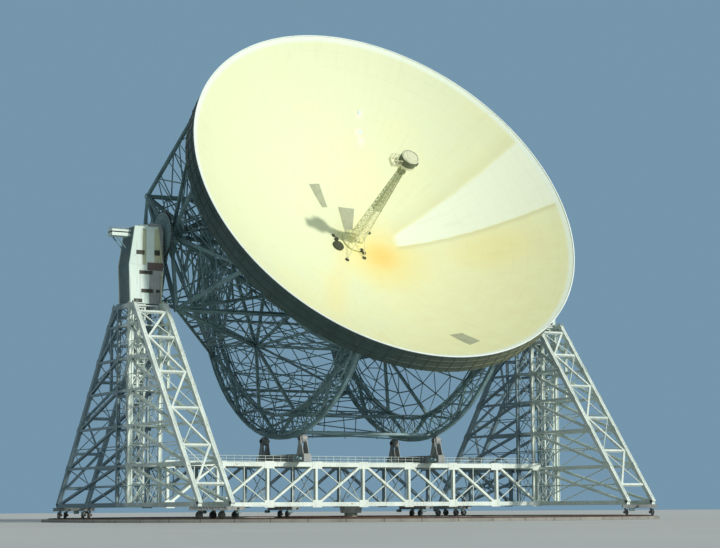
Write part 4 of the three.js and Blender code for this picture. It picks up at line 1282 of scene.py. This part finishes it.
def addMast(m):
    def corners(z):
        r = float(np.interp(z, (m["vertex"], m["drumLow"]), (m["lowHalf"], m["topHalf"])))
        return [polar(r, a, z) for a in anglesOf(4, 0.5)]

    low = m["vertex"] + 0.6
    for name, z0, z1, bays, paint, core, node in (
            ("mastLowerLattice", low, m["joint"], m["lowBays"], "mastPaint", 0.2, "mast_lower"),
            ("mastUpperLattice", m["joint"], m["drumLow"], m["topBays"], "mastShadePaint", 0.6, "mast_upper")):
        made = Shape()
        heights = np.linspace(z0, z1, bays + 1)
        rows = [corners(z) for z in heights]
        for k in range(4):
            made.bar(rows[0][k], rows[-1][k], m["leg"], None, (1, 0, 0), "angle")
        for i in range(bays + 1):
            for k in range(4):
                after = (k + 1) % 4
                made.bar(rows[i][k], rows[i][after], m["lace"])
                if i < bays:
                    for start, end in ((k, after), (after, k)):
                        made.bar(rows[i][start], rows[i + 1][end], m["lace"], m["lace"] * 0.5, (1, 0.3, 0))
        radii = [np.linalg.norm(row[0][:2]) * core for row in (rows[0], rows[-1])]
        steps = [(0, z0)]
        for i, z in enumerate(heights):
            r = radii[0] + (radii[1] - radii[0]) * i / bays
            steps += [(r, z - 0.03 * (i > 0)), (r + 0.05, z), (r, z + 0.03 * (i < bays))]
        made.turned(steps + [(0, z1)], 12)
        made.piece(name, "bowl", paint, "reflector_paint", [node], 35)
    foot = Shape()
    foot.turned([(0, low - 0.55), (2.55, low - 0.42), (2.6, low - 0.36), (2.6, low - 0.2), (2.3, low - 0.1),
                 (1.75, low - 0.06), (1.7, low + 0.1), (0, low + 0.12)], 32)
    foot.piece("mastFootRing", "bowl", "dishPaint", "reflector_paint", smooth=30)
    addBolts("mastFootBolts", "bowl", [polar(m["boltRing"], a, low - 0.14) for a in anglesOf(24)], (0, 0, 1),
             0.011, 0.012, "mastShadePaint", "dark_steel")


def addDrum(m):
    focus, low, r = m["focus"], m["drumLow"], m["drumRadius"]
    drum, (pale, dark, shaded) = Shape(), range(len(m["drumPaints"]))
    high = focus + m["drumHigh"]
    side = [(r, low + 0.5)]
    for share in (0.2, 0.5, 0.8):
        z = low + 0.5 + (high - low - 0.7) * share
        side += [(r - 0.04, z - 0.06), (r, z - 0.04), (r, z + 0.04), (r - 0.04, z + 0.06)]
    profile = [(0, low), (0.9, low), (1.2, low + 0.04), (r - 0.06, low + 0.46), *side, (r, high - 0.22),
               (r - 0.06, high - 0.12), (1.5, high - 0.02), (1.42, high - 0.05), (1.38, high - 0.35), (0, high - 0.35)]
    # The side's dark band is painted shade; below it the drum is pale, above it in the mast's shade paint
    bands = [pale if z < low + m["drumPale"] else dark if z < high - 0.2 else shaded for _, z in profile[1:]]
    drum.turned(profile, 48, paint=bands)
    drum.turned([(0, high - 0.349), (1.36, high - 0.345), (1.36, high - 0.12), (0.75, high - 0.1), (0.7, high - 0.03),
                 (0, high - 0.02)], 32, paint=shaded)
    for a in anglesOf(6):
        drum.bar(polar(0.6, a, high - 0.08), polar(1.4, a, high - 0.08), 0.1, 0.08)
    drum.box((1.2, -0.5, focus - 0.7), (2.05, 0.35, focus + 0.1), dark)
    for a in anglesOf(12):
        drum.bar(polar(0.6, a, low + 0.02), polar(r - 0.1, a, low + 0.4), 0.09, 0.12)
    drum.piece("focusDrum", "bowl", m["drumPaints"], "dark_steel", ["focus_drum"], 35)
    cage = Shape()
    (x0, x1), half = m["cageX"], m["cageHalf"]
    z0, z1 = focus - half, focus + 0.7
    cage.box((x0, -half, z0), (x1, half, z0 + 0.1))
    for y in (-half + 0.06, half - 0.06):
        for x in (x0 + 0.06, (x0 + x1) / 2, x1 - 0.1):
            cage.bar((x, y, z0), (x, y, z1 - 0.05), 0.09, None, (1, 0, 0))
        for z in (z0 + 0.6, z1 - 0.06):
            cage.bar((x0, y, z), (x1, y, z), 0.09)
        cage.box((x0 + 0.1, y - 0.03, z0 + 0.1), (x1, y + 0.03, z0 + 0.4))
    for z in (z0 + 0.6, z1 - 0.06):
        cage.bar((x0 + 0.06, -half, z), (x0 + 0.06, half, z), 0.09)
    cage.box((x0, -half, z0 + 0.1), (x0 + 0.06, half, z0 + 0.4))
    cage.bar((x1 - 0.3, 0, z0 - 0.02), (-0.6, 0, z0 - 0.55), 0.2)
    cage.piece("focusCage", "bowl", "mastPaint", "grey_steel", ["focus_cage"])
    stage = Shape()
    z, reach, high = low - m["stageDown"], m["stageRadius"], m["stageHeight"]
    stage.hoop([(0.5, z), (reach + 0.05, z), (reach + 0.05, z + 0.08), (0.5, z + 0.08)], 8)
    around = anglesOf(8)
    for a in around:
        stage.bar(polar(0.35, a, z - 0.5), polar(reach - 0.05, a, z + 0.02), 0.08)
        stage.bar(polar(reach, a, z), polar(reach, a, z + high), 0.07, None, (1, 0, 0))
    for up in (high / 2, high):
        for a, b in zip(around, around[1:] + around[:1]):
            stage.bar(polar(reach, a, z + up), polar(reach, b, z + up), 0.06)
    # The stage is olive painted shade under the drum
    stage.piece("mastStage", "bowl", "recessPaint", "dark_steel")


# Hatch, housings and struts on the surface round the mast's foot
feet = {"hatches": [(-4.2, -1.7, 1.1), (-4.1, -0.1, 0.4), (0.6, -2.3, 0.42), (1.0, -3.0, 0.3)],
        "struts": [(-3.3, -5.0), (0.7, -4.1), (-4.4, 0.8), (3.6, 2.2)], "strutReach": 0.9, "strutTop": 6.2}


def addMastFeet(f):
    clutter, halfCurve = Shape(), surfaceCurve / 2
    for x, u, r in f["hatches"]:
        z, upright = frontHeight(math.hypot(x, u)), (-x / halfCurve, -u / halfCurve, 1)
        clutter.turned([(0, -0.1), (r, -0.1), (r, 0.35), (r - 0.1, 0.45), (r * 0.4, 0.55), (0, 0.55)], 20, (x, u, z),
                       upright)
    for x, u in f["struts"]:
        z, upright = frontHeight(math.hypot(x, u)) + 0.02, (-x / halfCurve, -u / halfCurve, 1)
        top = np.array((x, u, 0)) / math.hypot(x, u) * f["strutReach"] + (0, 0, f["strutTop"])
        clutter.bar((x, u, z), top, 0.14, None, (0.3, 1, 0), "round", 1)
        clutter.turned([(0, -0.08), (0.4, -0.08), (0.4, 0.1), (0.25, 0.2), (0, 0.2)], 12, (x, u, z), upright)
    # Near-black hatches and strut pads: painted shade at the mast's foot
    clutter.piece("mastFootHousings", "bowl", ["louvrePaint", "mastShadePaint"], "dark_steel", smooth=35)


addMast(mast)
addDrum(mast)
addMastFeet(feet)
print("mast and drum made")


# Towers: legs and sills of plates and lacing, rolled beams between, lighter counter bracing

tower = {
    "levels": (9.6, 16.5, 22.6, 28.2, 34), "columnY": 2.6, "midwayY": 6, "topZ": 37.4, "depth": 0.7, "leg": 0.8,
    "sill": 0.76,
    "rungs": (6.1, 12.4, 18.7, 25, 31.3, 36), "fine": 0.15, "gusset": 0.105, "gussetReach": 0.36,
    "shaftHalf": 1.1, "shaftOut": 1.2, "shaft": (3.2, 37.6), "shaftBays": 10, "ladder": (3.4, 37.5), "ladderStep": 0.45,
    "ladderHalf": 0.25,
}


def legY(z):
    return float(np.interp(z, (legFootZ, houseBottom), (32, 4.14)))


def addSideFrame(name, node, x, t):
    rolled, fine = Shape(), Rods()
    across = (1, 0, 0)
    levels = [legFootZ, *t["levels"], t["topZ"]]
    plates, plateRun = [], []
    for side in bothEnds:
        rolled.builtUp((x, side * legY(legFootZ), legFootZ), (x, side * legY(t["topZ"]), t["topZ"]), t["leg"],
                       t["depth"], across)
    for i, z in enumerate(levels):
        start, end = (x, -legY(z), z), (x, legY(z), z)
        if i in (0, len(levels) - 1):
            rolled.builtUp(start, end, t["sill"], t["depth"], across)
        else:
            rolled.bar(start, end, 0.45, 0.62, across, "beam")
    for side in bothEnds:
        post = side * t["columnY"]
        rolled.bar((x, post, legFootZ), (x, post, t["topZ"]), 0.45, 0.66, across, "beam")
        rolled.bar((x, side * t["midwayY"], levels[3]), (x, side * t["midwayY"], levels[5]), 0.36, 0.5, across, "beam")
        for i in range(1, len(levels)):
            low, high = levels[i - 1], levels[i]
            rolled.bar((x, side * legY(low), low), (x, post, high), 0.4, 0.56, across, "channel")
            fine.add((x, post, low), (x, side * legY(high), high), t["fine"] * 1.3)
            half = (low + high) / 2
            fine.add((x, side * legY(half), half), (x, post, half), t["fine"])
            plates += [(x, side * legY(high), high), (x, post, high)]
            plateRun += [(0, side * (legY(high) - legY(low)), high - low), (0, 0, 1)]
            if side > 0:
                fine.add((x, -post, low), (x, post, high), t["fine"])
                fine.add((x, post, low), (x, -post, high), t["fine"])
                fine.add((x, -post, half), (x, post, half), t["fine"])
    rolled.piece(name, *towerSteel, [node])
    fine.piece(name + "Lacing", *towerSteel)
    return plates, plateRun


# Gusset plates on both faces of the joints, with their bolts
def addGussets(name, plates, runs, reach, size):
    points, way, run, bolts = [], [], [], []
    pattern = ((-0.38, -0.3), (0.38, -0.3), (-0.38, 0.3), (0.38, 0.3), (0, -0.38), (0, 0.38))
    for (x, y, z), line in zip(plates, runs):
        along = unitVector(line)
        other = np.cross((1, 0, 0), along)
        for side in bothEnds:
            spot = np.array((x + side * reach, y, z))
            points.append(spot)
            way.append((side, 0, 0))
            run.append(line)
            for a, b in pattern:
                bolts.append(spot + (a * along + b * other) * size / unit + (side * 0.02, 0, 0))
    addBlocks(name + "Gussets", "turntable", points, way, run, (size * 1.15, size, 0.004), "whiteSteelPaint",
              "white_steel")
    addBolts(name + "GussetBolts", "turntable", bolts, np.repeat(way, len(pattern), axis=0), 0.0055, 0.008,
             "greySteelPaint", "white_steel")


def addFaceLacing(name, middle, t):
    lace = Rods()
    half = sideOffset - t["gussetReach"]
    for side in bothEnds:
        for low, high in zip(t["rungs"], t["rungs"][1:]):
            for way in bothEnds:
                lace.add((middle + way * half, side * legY(low), low), (middle - way * half, side * legY(high), high),
                         t["fine"])
    for side in bothEnds:
        for low, high in zip((legFootZ, *t["levels"]), (*t["levels"], t["topZ"])):
            y = side * t["columnY"]
            for way in bothEnds:
                lace.add((middle + way * half, y, low), (middle - way * half, y, high), t["fine"])
            lace.add((middle - half, y, high), (middle + half, y, high), t["fine"] * 1.6)
    lace.piece(name + "CrossLacing", *towerSteel)


def addShaft(name, middle, side, t):
    lace = Rods()
    half = t["shaftHalf"]
    cx, cy = middle + side * t["shaftOut"], -t["shaftOut"]
    corner = [(cx - half, cy - half), (cx + half, cy - half), (cx + half, cy + half), (cx - half, cy + half)]
    heights = np.linspace(*t["shaft"], t["shaftBays"] + 1)
    for low, high in zip(heights, heights[1:]):
        for i in range(4):
            (ax, ay), (bx, by) = corner[i], corner[(i + 1) % 4]
            lace.add((ax, ay, low), (bx, by, high), t["fine"])
            lace.add((bx, by, low), (ax, ay, high), t["fine"])
            lace.add((ax, ay, high), (bx, by, high), t["fine"] * 1.3)
    y, left, right = cy + half - 0.12, cx - t["ladderHalf"], cx + t["ladderHalf"]
    for z in np.arange(*t["ladder"], t["ladderStep"]):
        lace.add((left, y, z), (right, y, z), 0.05)
    for x in (left, right):
        lace.add((x, y, heights[0]), (x, y, heights[-1]), 0.08)
    lace.piece(name + "ShaftLacing", *towerSteel)


# Head houses: white strips, an olive recess in painted shade and louvres on the faces, dark flanks, and a railed ledge

house = {
    "outline": [(37.8, 2.95), (44.6, 3.2), (51.3, 2.2)], "depth": 2.6, "recess": 0.35, "ledgeReach": 5.8,
    "strips": [(-9, -0.75), (0.0, 1.5)],
    "louvres": [(-1.9, -0.35, 46.4, 47.15), (1.5, 2.5, 46.4, 47.3), (-1.3, 1.2, 42.95, 43.6), (-0.9, 1.3, 39.7, 40.35),
                (1.9, 2.6, 39.8, 40.3), (-2.25, -0.7, 37.95, 38.6)],
    # split: where the grey painted shade starts on the lower front of each face
    "band": (0.2, 9, 43.7, 45.05), "seam": 0.55, "split": 0.55, "ribs": 9, "shelf": (50.3, 50.5), "rail": 50.85,
    "ledgeEdge": 0.94,
    "paints": ["claddingPaint", "shadedCladding", "brownPaint", "greySteelPaint", "darkSteelPaint", "recessPaint",
               "louvrePaint"],
}


def houseHalf(z):
    return float(np.interp(z, [row[0] for row in house["outline"]], [row[1] for row in house["outline"]]))


def addHeadHouse(name, node, middle, side, h):
    made = Shape()
    # pale is the olive painted shade of recesses and inner corner bars; openingShade the near-black painted shade
    # behind louvres
    white, shaded, brown, grey, dark, pale, openingShade = range(len(h["paints"]))

    def turn(i):                           # places across a face run from the outer side to the inner one
        return middle - side * i

    # A piece of a face, between two places across it and two heights, kept within the house's outline
    def panel(i0, i1, z0, z1, y, thickness, paint=white):
        cuts = sorted({z0, z1, *[z for z, _ in h["outline"] if z0 < z < z1]})
        left = [(max(i0, -houseHalf(z)), z) for z in cuts]
        right = [(min(i1, houseHalf(z)), z) for z in cuts[::-1]]
        made.prism([(turn(i), z) for i, z in left + right], y, y + thickness, (0, 2, 1), paint)

    waist = h["outline"][1][0]
    low, high = h["outline"][0][0], h["outline"][2][0]
    inset = h["depth"] - h["recess"]
    core = [(0.06 - houseHalf(z), z) for z in (low, waist, high)]
    core += [(-i, z) for i, z in core[::-1]]
    made.prism([(turn(i), z) for i, z in core], -inset, inset, (0, 2, 1), shaded)
    for face in bothEnds:
        y, thick = face * inset, face * h["recess"]
        panel(-9, h["split"], low, waist, y, thick)
        # Lower front right of the split: grey, painted shade of the dish's shadow
        panel(h["split"] + 0.02, 9, low, waist, y, thick * 0.8, grey)
        for i0, i1 in h["strips"]:
            panel(i0, i1, waist + 0.02, high, y, thick)
        # Olive panels right of the strips and in the recess between them: painted shade
        panel(h["strips"][1][1], 9, waist + 0.02, high - 0.3, y, thick * 0.3, pale)
        panel(h["strips"][0][1], h["strips"][1][0], waist + 0.02, high - 0.3, y, thick * 0.2, pale)
        panel(-9, 9, high - 0.3, high - 0.01, y, thick * 1.06)
        panel(*h["band"], y + thick, face * 0.05, brown)
        for i0, i1, z0, z1 in h["louvres"]:
            # Near-black plate behind each louvre: painted shade of the opening
            panel(i0, i1, z0, z1, y + thick * 0.9, thick * 0.1 + face * 0.03, openingShade)
            for k in range(3):
                z = z0 + (z1 - z0) * (k + 0.5) / 3
                panel(i0, i1, z - 0.05, z + 0.02, y + thick + face * 0.03, face * 0.05, dark)
        # Seam strips, grey right of the split like the painted shade there
        for i in np.arange(-2.9, 3.0, h["seam"]):
            panel(i - 0.02, i + 0.02, low + 0.05, waist - 1.7, y + thick * 0.7, thick * 0.3 + face * 0.025,
                  white if i < h["split"] else grey)
    for flank in bothEnds:
        for z0, z1 in ((low, waist), (waist, high)):
            i0, i1 = flank * houseHalf(z0), flank * houseHalf(z1)
            for y in np.linspace(-inset, inset, h["ribs"] + 1):
                made.bar((turn(i0 - flank * 0.05), y, z0 + 0.05), (turn(i1 - flank * 0.05), y, z1 - 0.05), 0.08, 0.1,
                         (1, 0, 0), "box", grey)
            # Corner bars: white on the outer flank, olive painted shade on the inner one
            for y in (-h["depth"] + 0.14, h["depth"] - 0.14):
                made.bar((turn(i0 - flank * 0.1), y, z0 + 0.01), (turn(i1 - flank * 0.1), y, z1 - 0.01), 0.33, 0.22,
                         (1, 0, 0), "box", white if flank < 0 else pale)
            x = turn(i1 - flank * 0.08)
            made.bar((x, 0.33 - h["depth"], z1 - 0.09), (x, h["depth"] - 0.33, z1 - 0.09), 0.2, 0.16, (0, 0, 1),
                     "box", shaded)
    roof = h["outline"][2][1]
    made.box((turn(-roof - 0.04), -h["depth"] - 0.05, high + 0.005),
             (turn(roof + 0.04), h["depth"] + 0.05, high + 0.12))
    made.box((turn(-0.6), -1.4, high + 0.06), (turn(0.8), 0.3, high + 0.6))
    made.box((turn(-4.2), -0.1, 37.86), (turn(-2.9), 0.1, 37.9), grey)
    reach, edge, rail, (under, shelf) = (h[key] for key in ("ledgeReach", "ledgeEdge", "rail", "shelf"))
    foot = under - 0.6
    made.box((turn(-houseHalf(50) + 0.3), -1, under), (turn(-reach), 1, shelf))
    for y in (-edge, edge):
        made.box((turn(-2.2), y - 0.06, foot + 0.02), (turn(-reach), y + 0.06, rail))
    for k in range(6):
        x = turn(-2.5 - (reach - 2.6) * k / 5)
        made.box((x - 0.06, -0.9, foot), (x + 0.06, 0.9, under))
    made.box((turn(0.06 - reach), -0.88, foot + 0.02), (turn(-reach), 0.88, rail))
    for y in (-0.8, 0.8):
        made.bar((turn(0.8 - reach), y, foot), (turn(-houseHalf(foot - 2.5)), y, foot - 2.5), 0.16, None, (0, 1, 0),
                 "box", shaded)
    made.piece(name, "turntable", h["paints"], "white_cladding", [node])
    path = [(turn(i), y, rail - 0.05) for i, y in ((-2.75, -edge), (0.06 - reach, -edge), (0.06 - reach, edge),
                                                   (-2.75, edge))]
    grown(name + "LedgeRailing", "railing", "turntable", path, "greySteelPaint", "white_steel",
          edges=[(0, 1), (1, 2), (2, 3)], Height=0.05, Spacing=0.09, Tube=0.0028)


def addTowers(t, h):
    for name, side in bothSides:
        middle = side * towerX
        plates, runs = [], []
        for part, offset in (("Outer", sideOffset), ("Inner", -sideOffset)):
            spots, lines = addSideFrame(f"{name}Tower{part}Side", f"{name}_tower_{part.lower()}_side",
                                        side * (towerX + offset), t)
            plates += spots
            runs += lines
        addGussets(name + "Tower", plates, runs, t["gussetReach"], t["gusset"])
        addFaceLacing(name + "Tower", middle, t)
        addShaft(name, middle, side, t)
        addHeadHouse(name + "HeadHouse", name + "_head_house", middle, side, h)


addTowers(tower, house)
print("towers made")


# Outer corner of the trunnion frames, behind the trunnion, and struts from it to the ribs

outerCorner = {
    "tipY": 7.6, "tipZ": -9.6, "upper": (12.4, -4.9), "hubZ": -1.2,
    "inner": (25, 10.5, -4.5), "rib": 26, "chord": 0.5, "web": 0.26, "fine": 0.2,
}


def addOuterCorners(o):
    for name, side in bothSides:
        lace = Rods()
        x = side * span["trunnionX"]
        hub = np.array((side * hubX, 0, o["hubZ"]))
        tips = {up: np.array((x, up * o["tipY"], o["tipZ"])) for up in bothEnds}
        upperY, upperZ = o["upper"]
        zigzag(lace, (tips[-1], tips[1]), [np.array((x, up * upperY, upperZ)) for up in bothEnds], 6, o["fine"])
        lace.add(tips[-1], tips[1], o["chord"])
        for up, tip in tips.items():
            corner = np.array((x, up * span["cornerY"], span["cornerZ"]))
            lace.add(corner, tip, o["chord"])
            lace.add(tip, hub, o["web"] * 1.4)
            inner = np.array(o["inner"]) * (side, up, 1)
            web = wheelHub(side * wheelOffset, up)
            zigzag(lace, (tip, web), (corner, web), 6, o["fine"])
            lace.add(tip, web, o["web"])
            lace.add(tip, inner, o["web"])
            for angle in (12, 25):
                lace.add(tip, ribPoint(angle * up, o["rib"]) * (side, 1, 1), o["web"])
        lace.piece(name + "OuterCornerLacing", *bowlSteel)


addOuterCorners(outerCorner)


# Middle of the bowl's back: a hub tube with its spider on the innermost ring

backHub = {"radius": 1.5, "low": -7.7, "middle": -4.0, "armZ": -7.4, "arms": 12, "ring": 5.4}


def addBackHub(b):
    hub = Shape()
    top = oldHeight(0) - 0.05
    r, ring, middle, armZ = b["radius"], b["ring"], b["middle"], b["armZ"]
    hub.turned([(0, b["low"]), (r + 0.35, b["low"]), (r + 0.35, b["low"] + 0.25), (r, b["low"] + 0.3), (r, -4.2),
                (r + 0.3, -4.15), (r + 0.3, -3.9), (r, -3.85), (r, top), (0, top)], 32)
    for a in anglesOf(b["arms"]):
        hub.bar(polar(r, a, armZ), polar(ring, a, armZ), 0.3, 0.42, (0, 0, 1), "beam")
        hub.bar(polar(r, a, middle), polar(ring, a, armZ + 0.2), 0.22)
        hub.bar(polar(ring, a, armZ + 0.1), polar(ring, a, oldHeight(ring) - 0.1), 0.3, None, (1, 0, 0), "beam")
        hub.bar(polar(r, a, middle), polar(ring, a, oldHeight(ring) - 0.2), 0.2)
    hub.piece("backHub", *bowlSteel, smooth=35)


addBackHub(backHub)


# Diametral girder: cross beams, plan bracing, counter bracing, planks and railings

girder = {"end": 38.5, "half": 4.5, "low": 2.9, "top": 10.0, "bays": 8, "plank": 0.62, "deckTop": 10.2}


def addGirderDetail(g):
    beams, lace = Shape(), Rods()
    bay = 2 * g["end"] / g["bays"]
    inside = g["half"] - 0.45
    points = []
    for i in range(2 * g["bays"] + 1):
        x = -g["end"] + 0.3 + (2 * g["end"] - 0.6) * i / (2 * g["bays"])
        for z in (g["top"] - 0.22, g["low"] + 0.06):
            beams.bar((x, -inside, z), (x, inside, z), 0.3, 0.4, (0, 0, 1), "beam")
    for i in range(g["bays"]):
        x0, x1 = -g["end"] + bay * i, -g["end"] + bay * (i + 1)
        middle = (x0 + x1) / 2
        for side in bothEnds:
            y = side * g["half"]
            rises = (g["top"], g["low"]) if i < g["bays"] / 2 else (g["low"], g["top"])
            lace.add((x0, y, rises[0]), (x1, y, rises[1]), 0.2)
            lace.add((middle, y, g["low"]), (middle, y, g["top"]), 0.16)
            for x in (x0, x1)[min(i, 1):]:
                points += [(x, y + side * 0.42, z) for z in (g["low"] + 0.1, g["top"] - 0.1)]
        for z in (g["low"] + 0.2, g["top"] - 0.5):
            lace.add((x0, -inside, z), (x1, inside, z), 0.16)
            lace.add((x0, inside, z), (x1, -inside, z), 0.16)
        for way in bothEnds:
            lace.add((x0, -way * inside, g["low"]), (x0, way * inside, g["top"]), 0.18)
    beams.piece("girderCrossBeams", *towerSteel)
    lace.piece("girderLacing", *towerSteel)
    addBlocks("girderGussets", "turntable", points, (0, 1, 0), (1, 0, 0), (0.19, 0.13, 0.005), "whiteSteelPaint",
              "white_steel")
    planks = [(x, 0, g["deckTop"] + 0.03) for x in np.arange(-g["end"] + 0.5, g["end"] - 0.3, g["plank"])
              if abs(abs(x) - wheelOffset) > 1.3]
    addBlocks("girderDeckPlanks", "turntable", planks, (0, 0, 1), (1, 0, 0), (g["plank"] * unit * 0.93, 0.72, 0.005),
              "greySteelPaint", "grey_steel")
    for side in bothEnds:
        y = side * g["half"]
        path = [(-g["end"] + 0.3, y, g["top"] + 0.4), (g["end"] - 0.3, y, g["top"] + 0.4)]
        grown("girderRailing" + ("Front" if side < 0 else "Rear"), "railing", "turntable", path, "whiteSteelPaint",
              "white_steel", edges=[(0, 1)], Height=0.11, Spacing=0.15, Tube=0.0035)


addGirderDetail(girder)


# Cradles and bogies: wheel flanges, gearboxes, motors, stiffeners and bolts

running = {
    "trackMiddle": 52.7, "railHalf": 2.3, "wheelSpacing": 4, "halfLength": 3.4, "centreRadius": 14, "axle": 1.163,
    "wheelRadius": 0.5, "flanges": (1.97, 2.43), "rollerReach": 36.76, "rollerAngles": (-12, 12),
    "cradle": (10.5, 11.75), "cradleHalf": 9.38, "cradleTop": 11.85,
    "paints": ["greySteelPaint", "darkSteelPaint", "slateSteelPaint"],
}


def addBogieDetail(r):
    made, bolts, ways = Shape(), [], []
    dark, slate = 1, 2                     # places in the list of paints

    def bogie(place, turn, rails, spacing, half):
        cos, sin = math.cos(turn), math.sin(turn)

        def at(x, y, z):
            return (place[0] + x * cos - y * sin, place[1] + x * sin + y * cos, z)

        length, cross = np.array((cos, sin, 0)), np.array((-sin, cos, 0))
        for rail in rails:
            for side in bothEnds:
                x = side * spacing / 2
                for face in bothEnds:
                    made.turned([(0, 0), (r["wheelRadius"] + 0.1, 0), (r["wheelRadius"] + 0.1, 0.03),
                                 (r["wheelRadius"] - 0.06, 0.06), (0.2, 0.08), (0.18, 0.16), (0, 0.16)], 24,
                                at(x, rail + face * 0.13, r["axle"]), cross * face, dark)
                made.turned([(0, 0), (0.17, 0), (0.17, 0.34), (0, 0.34)], 12, at(x, rail - 0.62, r["axle"]), cross,
                            dark)
        edge = max(abs(rail) for rail in rails) + 0.7
        for side in bothEnds:
            for z in r["flanges"][::-1]:
                made.bar(at(-half, side * (edge + 0.03), z), at(half, side * (edge + 0.03), z), 0.12, 0.14, cross)
            motor = side * (half - 0.35)
            made.bar(at(motor, rails[0] + 0.5, 1.65), at(motor, rails[0] + 1.4, 1.65), 0.5, None, (0, 0, 1), "round",
                     slate)
            made.bar(at(side * (half + 0.02), -0.3, 2.2), at(side * (half + 0.35), -0.3, 2.2), 0.3, None, (0, 0, 1),
                     "round", dark)
            for k in range(7):
                x = -half + 0.3 + (2 * half - 0.6) * k / 6
                made.bar(at(x, side * (edge + 0.03), 2.0), at(x, side * (edge + 0.03), 2.4), 0.1, 0.08, length)
            for k in range(12):
                x = -half + 0.4 + (2 * half - 0.8) * k / 11
                bolts.append(at(x, side * (edge + 0.1), r["flanges"][1]))
                ways.append(cross * side)

    around = math.atan2(legY(legFootZ), towerX)
    for angle in (math.pi + around, math.pi - around, -around, around):
        bogie(polar(r["trackMiddle"], angle), angle - math.pi / 2, (-r["railHalf"], r["railHalf"]), r["wheelSpacing"],
              r["halfLength"])
    for side in bothEnds:
        bogie((side * r["centreRadius"], 0), math.pi / 2, (0,), 3, 4.9)
    made.piece("bogieGear", "turntable", r["paints"], "grey_steel", smooth=35)
    addBolts("bogieBolts", "turntable", bolts, ways, 0.008, 0.008, "darkSteelPaint", "grey_steel")


def addCradleDetail(r):
    made, bolts, ways = Shape(), [], []
    dark, slate = 1, 2                     # places in the list of paints
    for side in bothEnds:
        x = side * wheelOffset
        for angle in r["rollerAngles"]:
            a = math.radians(angle)
            y, z = r["rollerReach"] * math.sin(a), axisHeight - r["rollerReach"] * math.cos(a)
            for face in bothEnds:
                made.turned([(0, 0), (0.42, 0), (0.42, 0.06), (0.24, 0.1), (0.22, 0.26), (0, 0.26)], 20,
                            (x + face * 0.72, y, z), (face, 0, 0), dark)
                for b in anglesOf(8):
                    bolts.append((x + face * 0.78, y + 0.34 * math.cos(b), z + 0.34 * math.sin(b)))
                    ways.append((face, 0, 0))
                for lean in bothEnds:
                    near, far, top = y + lean * 0.45, y + lean * 1.25, r["cradleTop"]
                    made.prism([(near, z - 0.3), (far, top), (near, top)], x + face * 0.5, x + face * 0.62, (1, 2, 0))
            made.box((x - 1.5, y - 0.5, 10.55), (x - 0.69, y + 0.5, 11.3), slate)
            made.bar((x - 1.2, y - 1.5, 10.95), (x - 1.2, y - 0.45, 10.95), 0.5, None, (0, 0, 1), "round", slate)
        half, (low, high) = r["cradleHalf"], r["cradle"]
        for edge in bothEnds:
            for z in (low, high):
                made.bar((x + edge * 0.68, -half, z), (x + edge * 0.68, half, z), 0.16, 0.12)
            for y in np.arange(-9, 9.1, 1.5):
                made.bar((x + edge * 0.74, y, low), (x + edge * 0.74, y, high), 0.08, 0.1, (1, 0, 0))
    made.piece("cradleGear", "turntable", r["paints"], "grey_steel", smooth=35)
    addBolts("cradleBolts", "turntable", bolts, ways, 0.006, 0.008, "darkSteelPaint", "grey_steel")


addBogieDetail(running)
addCradleDetail(running)
print("girder, bogies and cradles made")
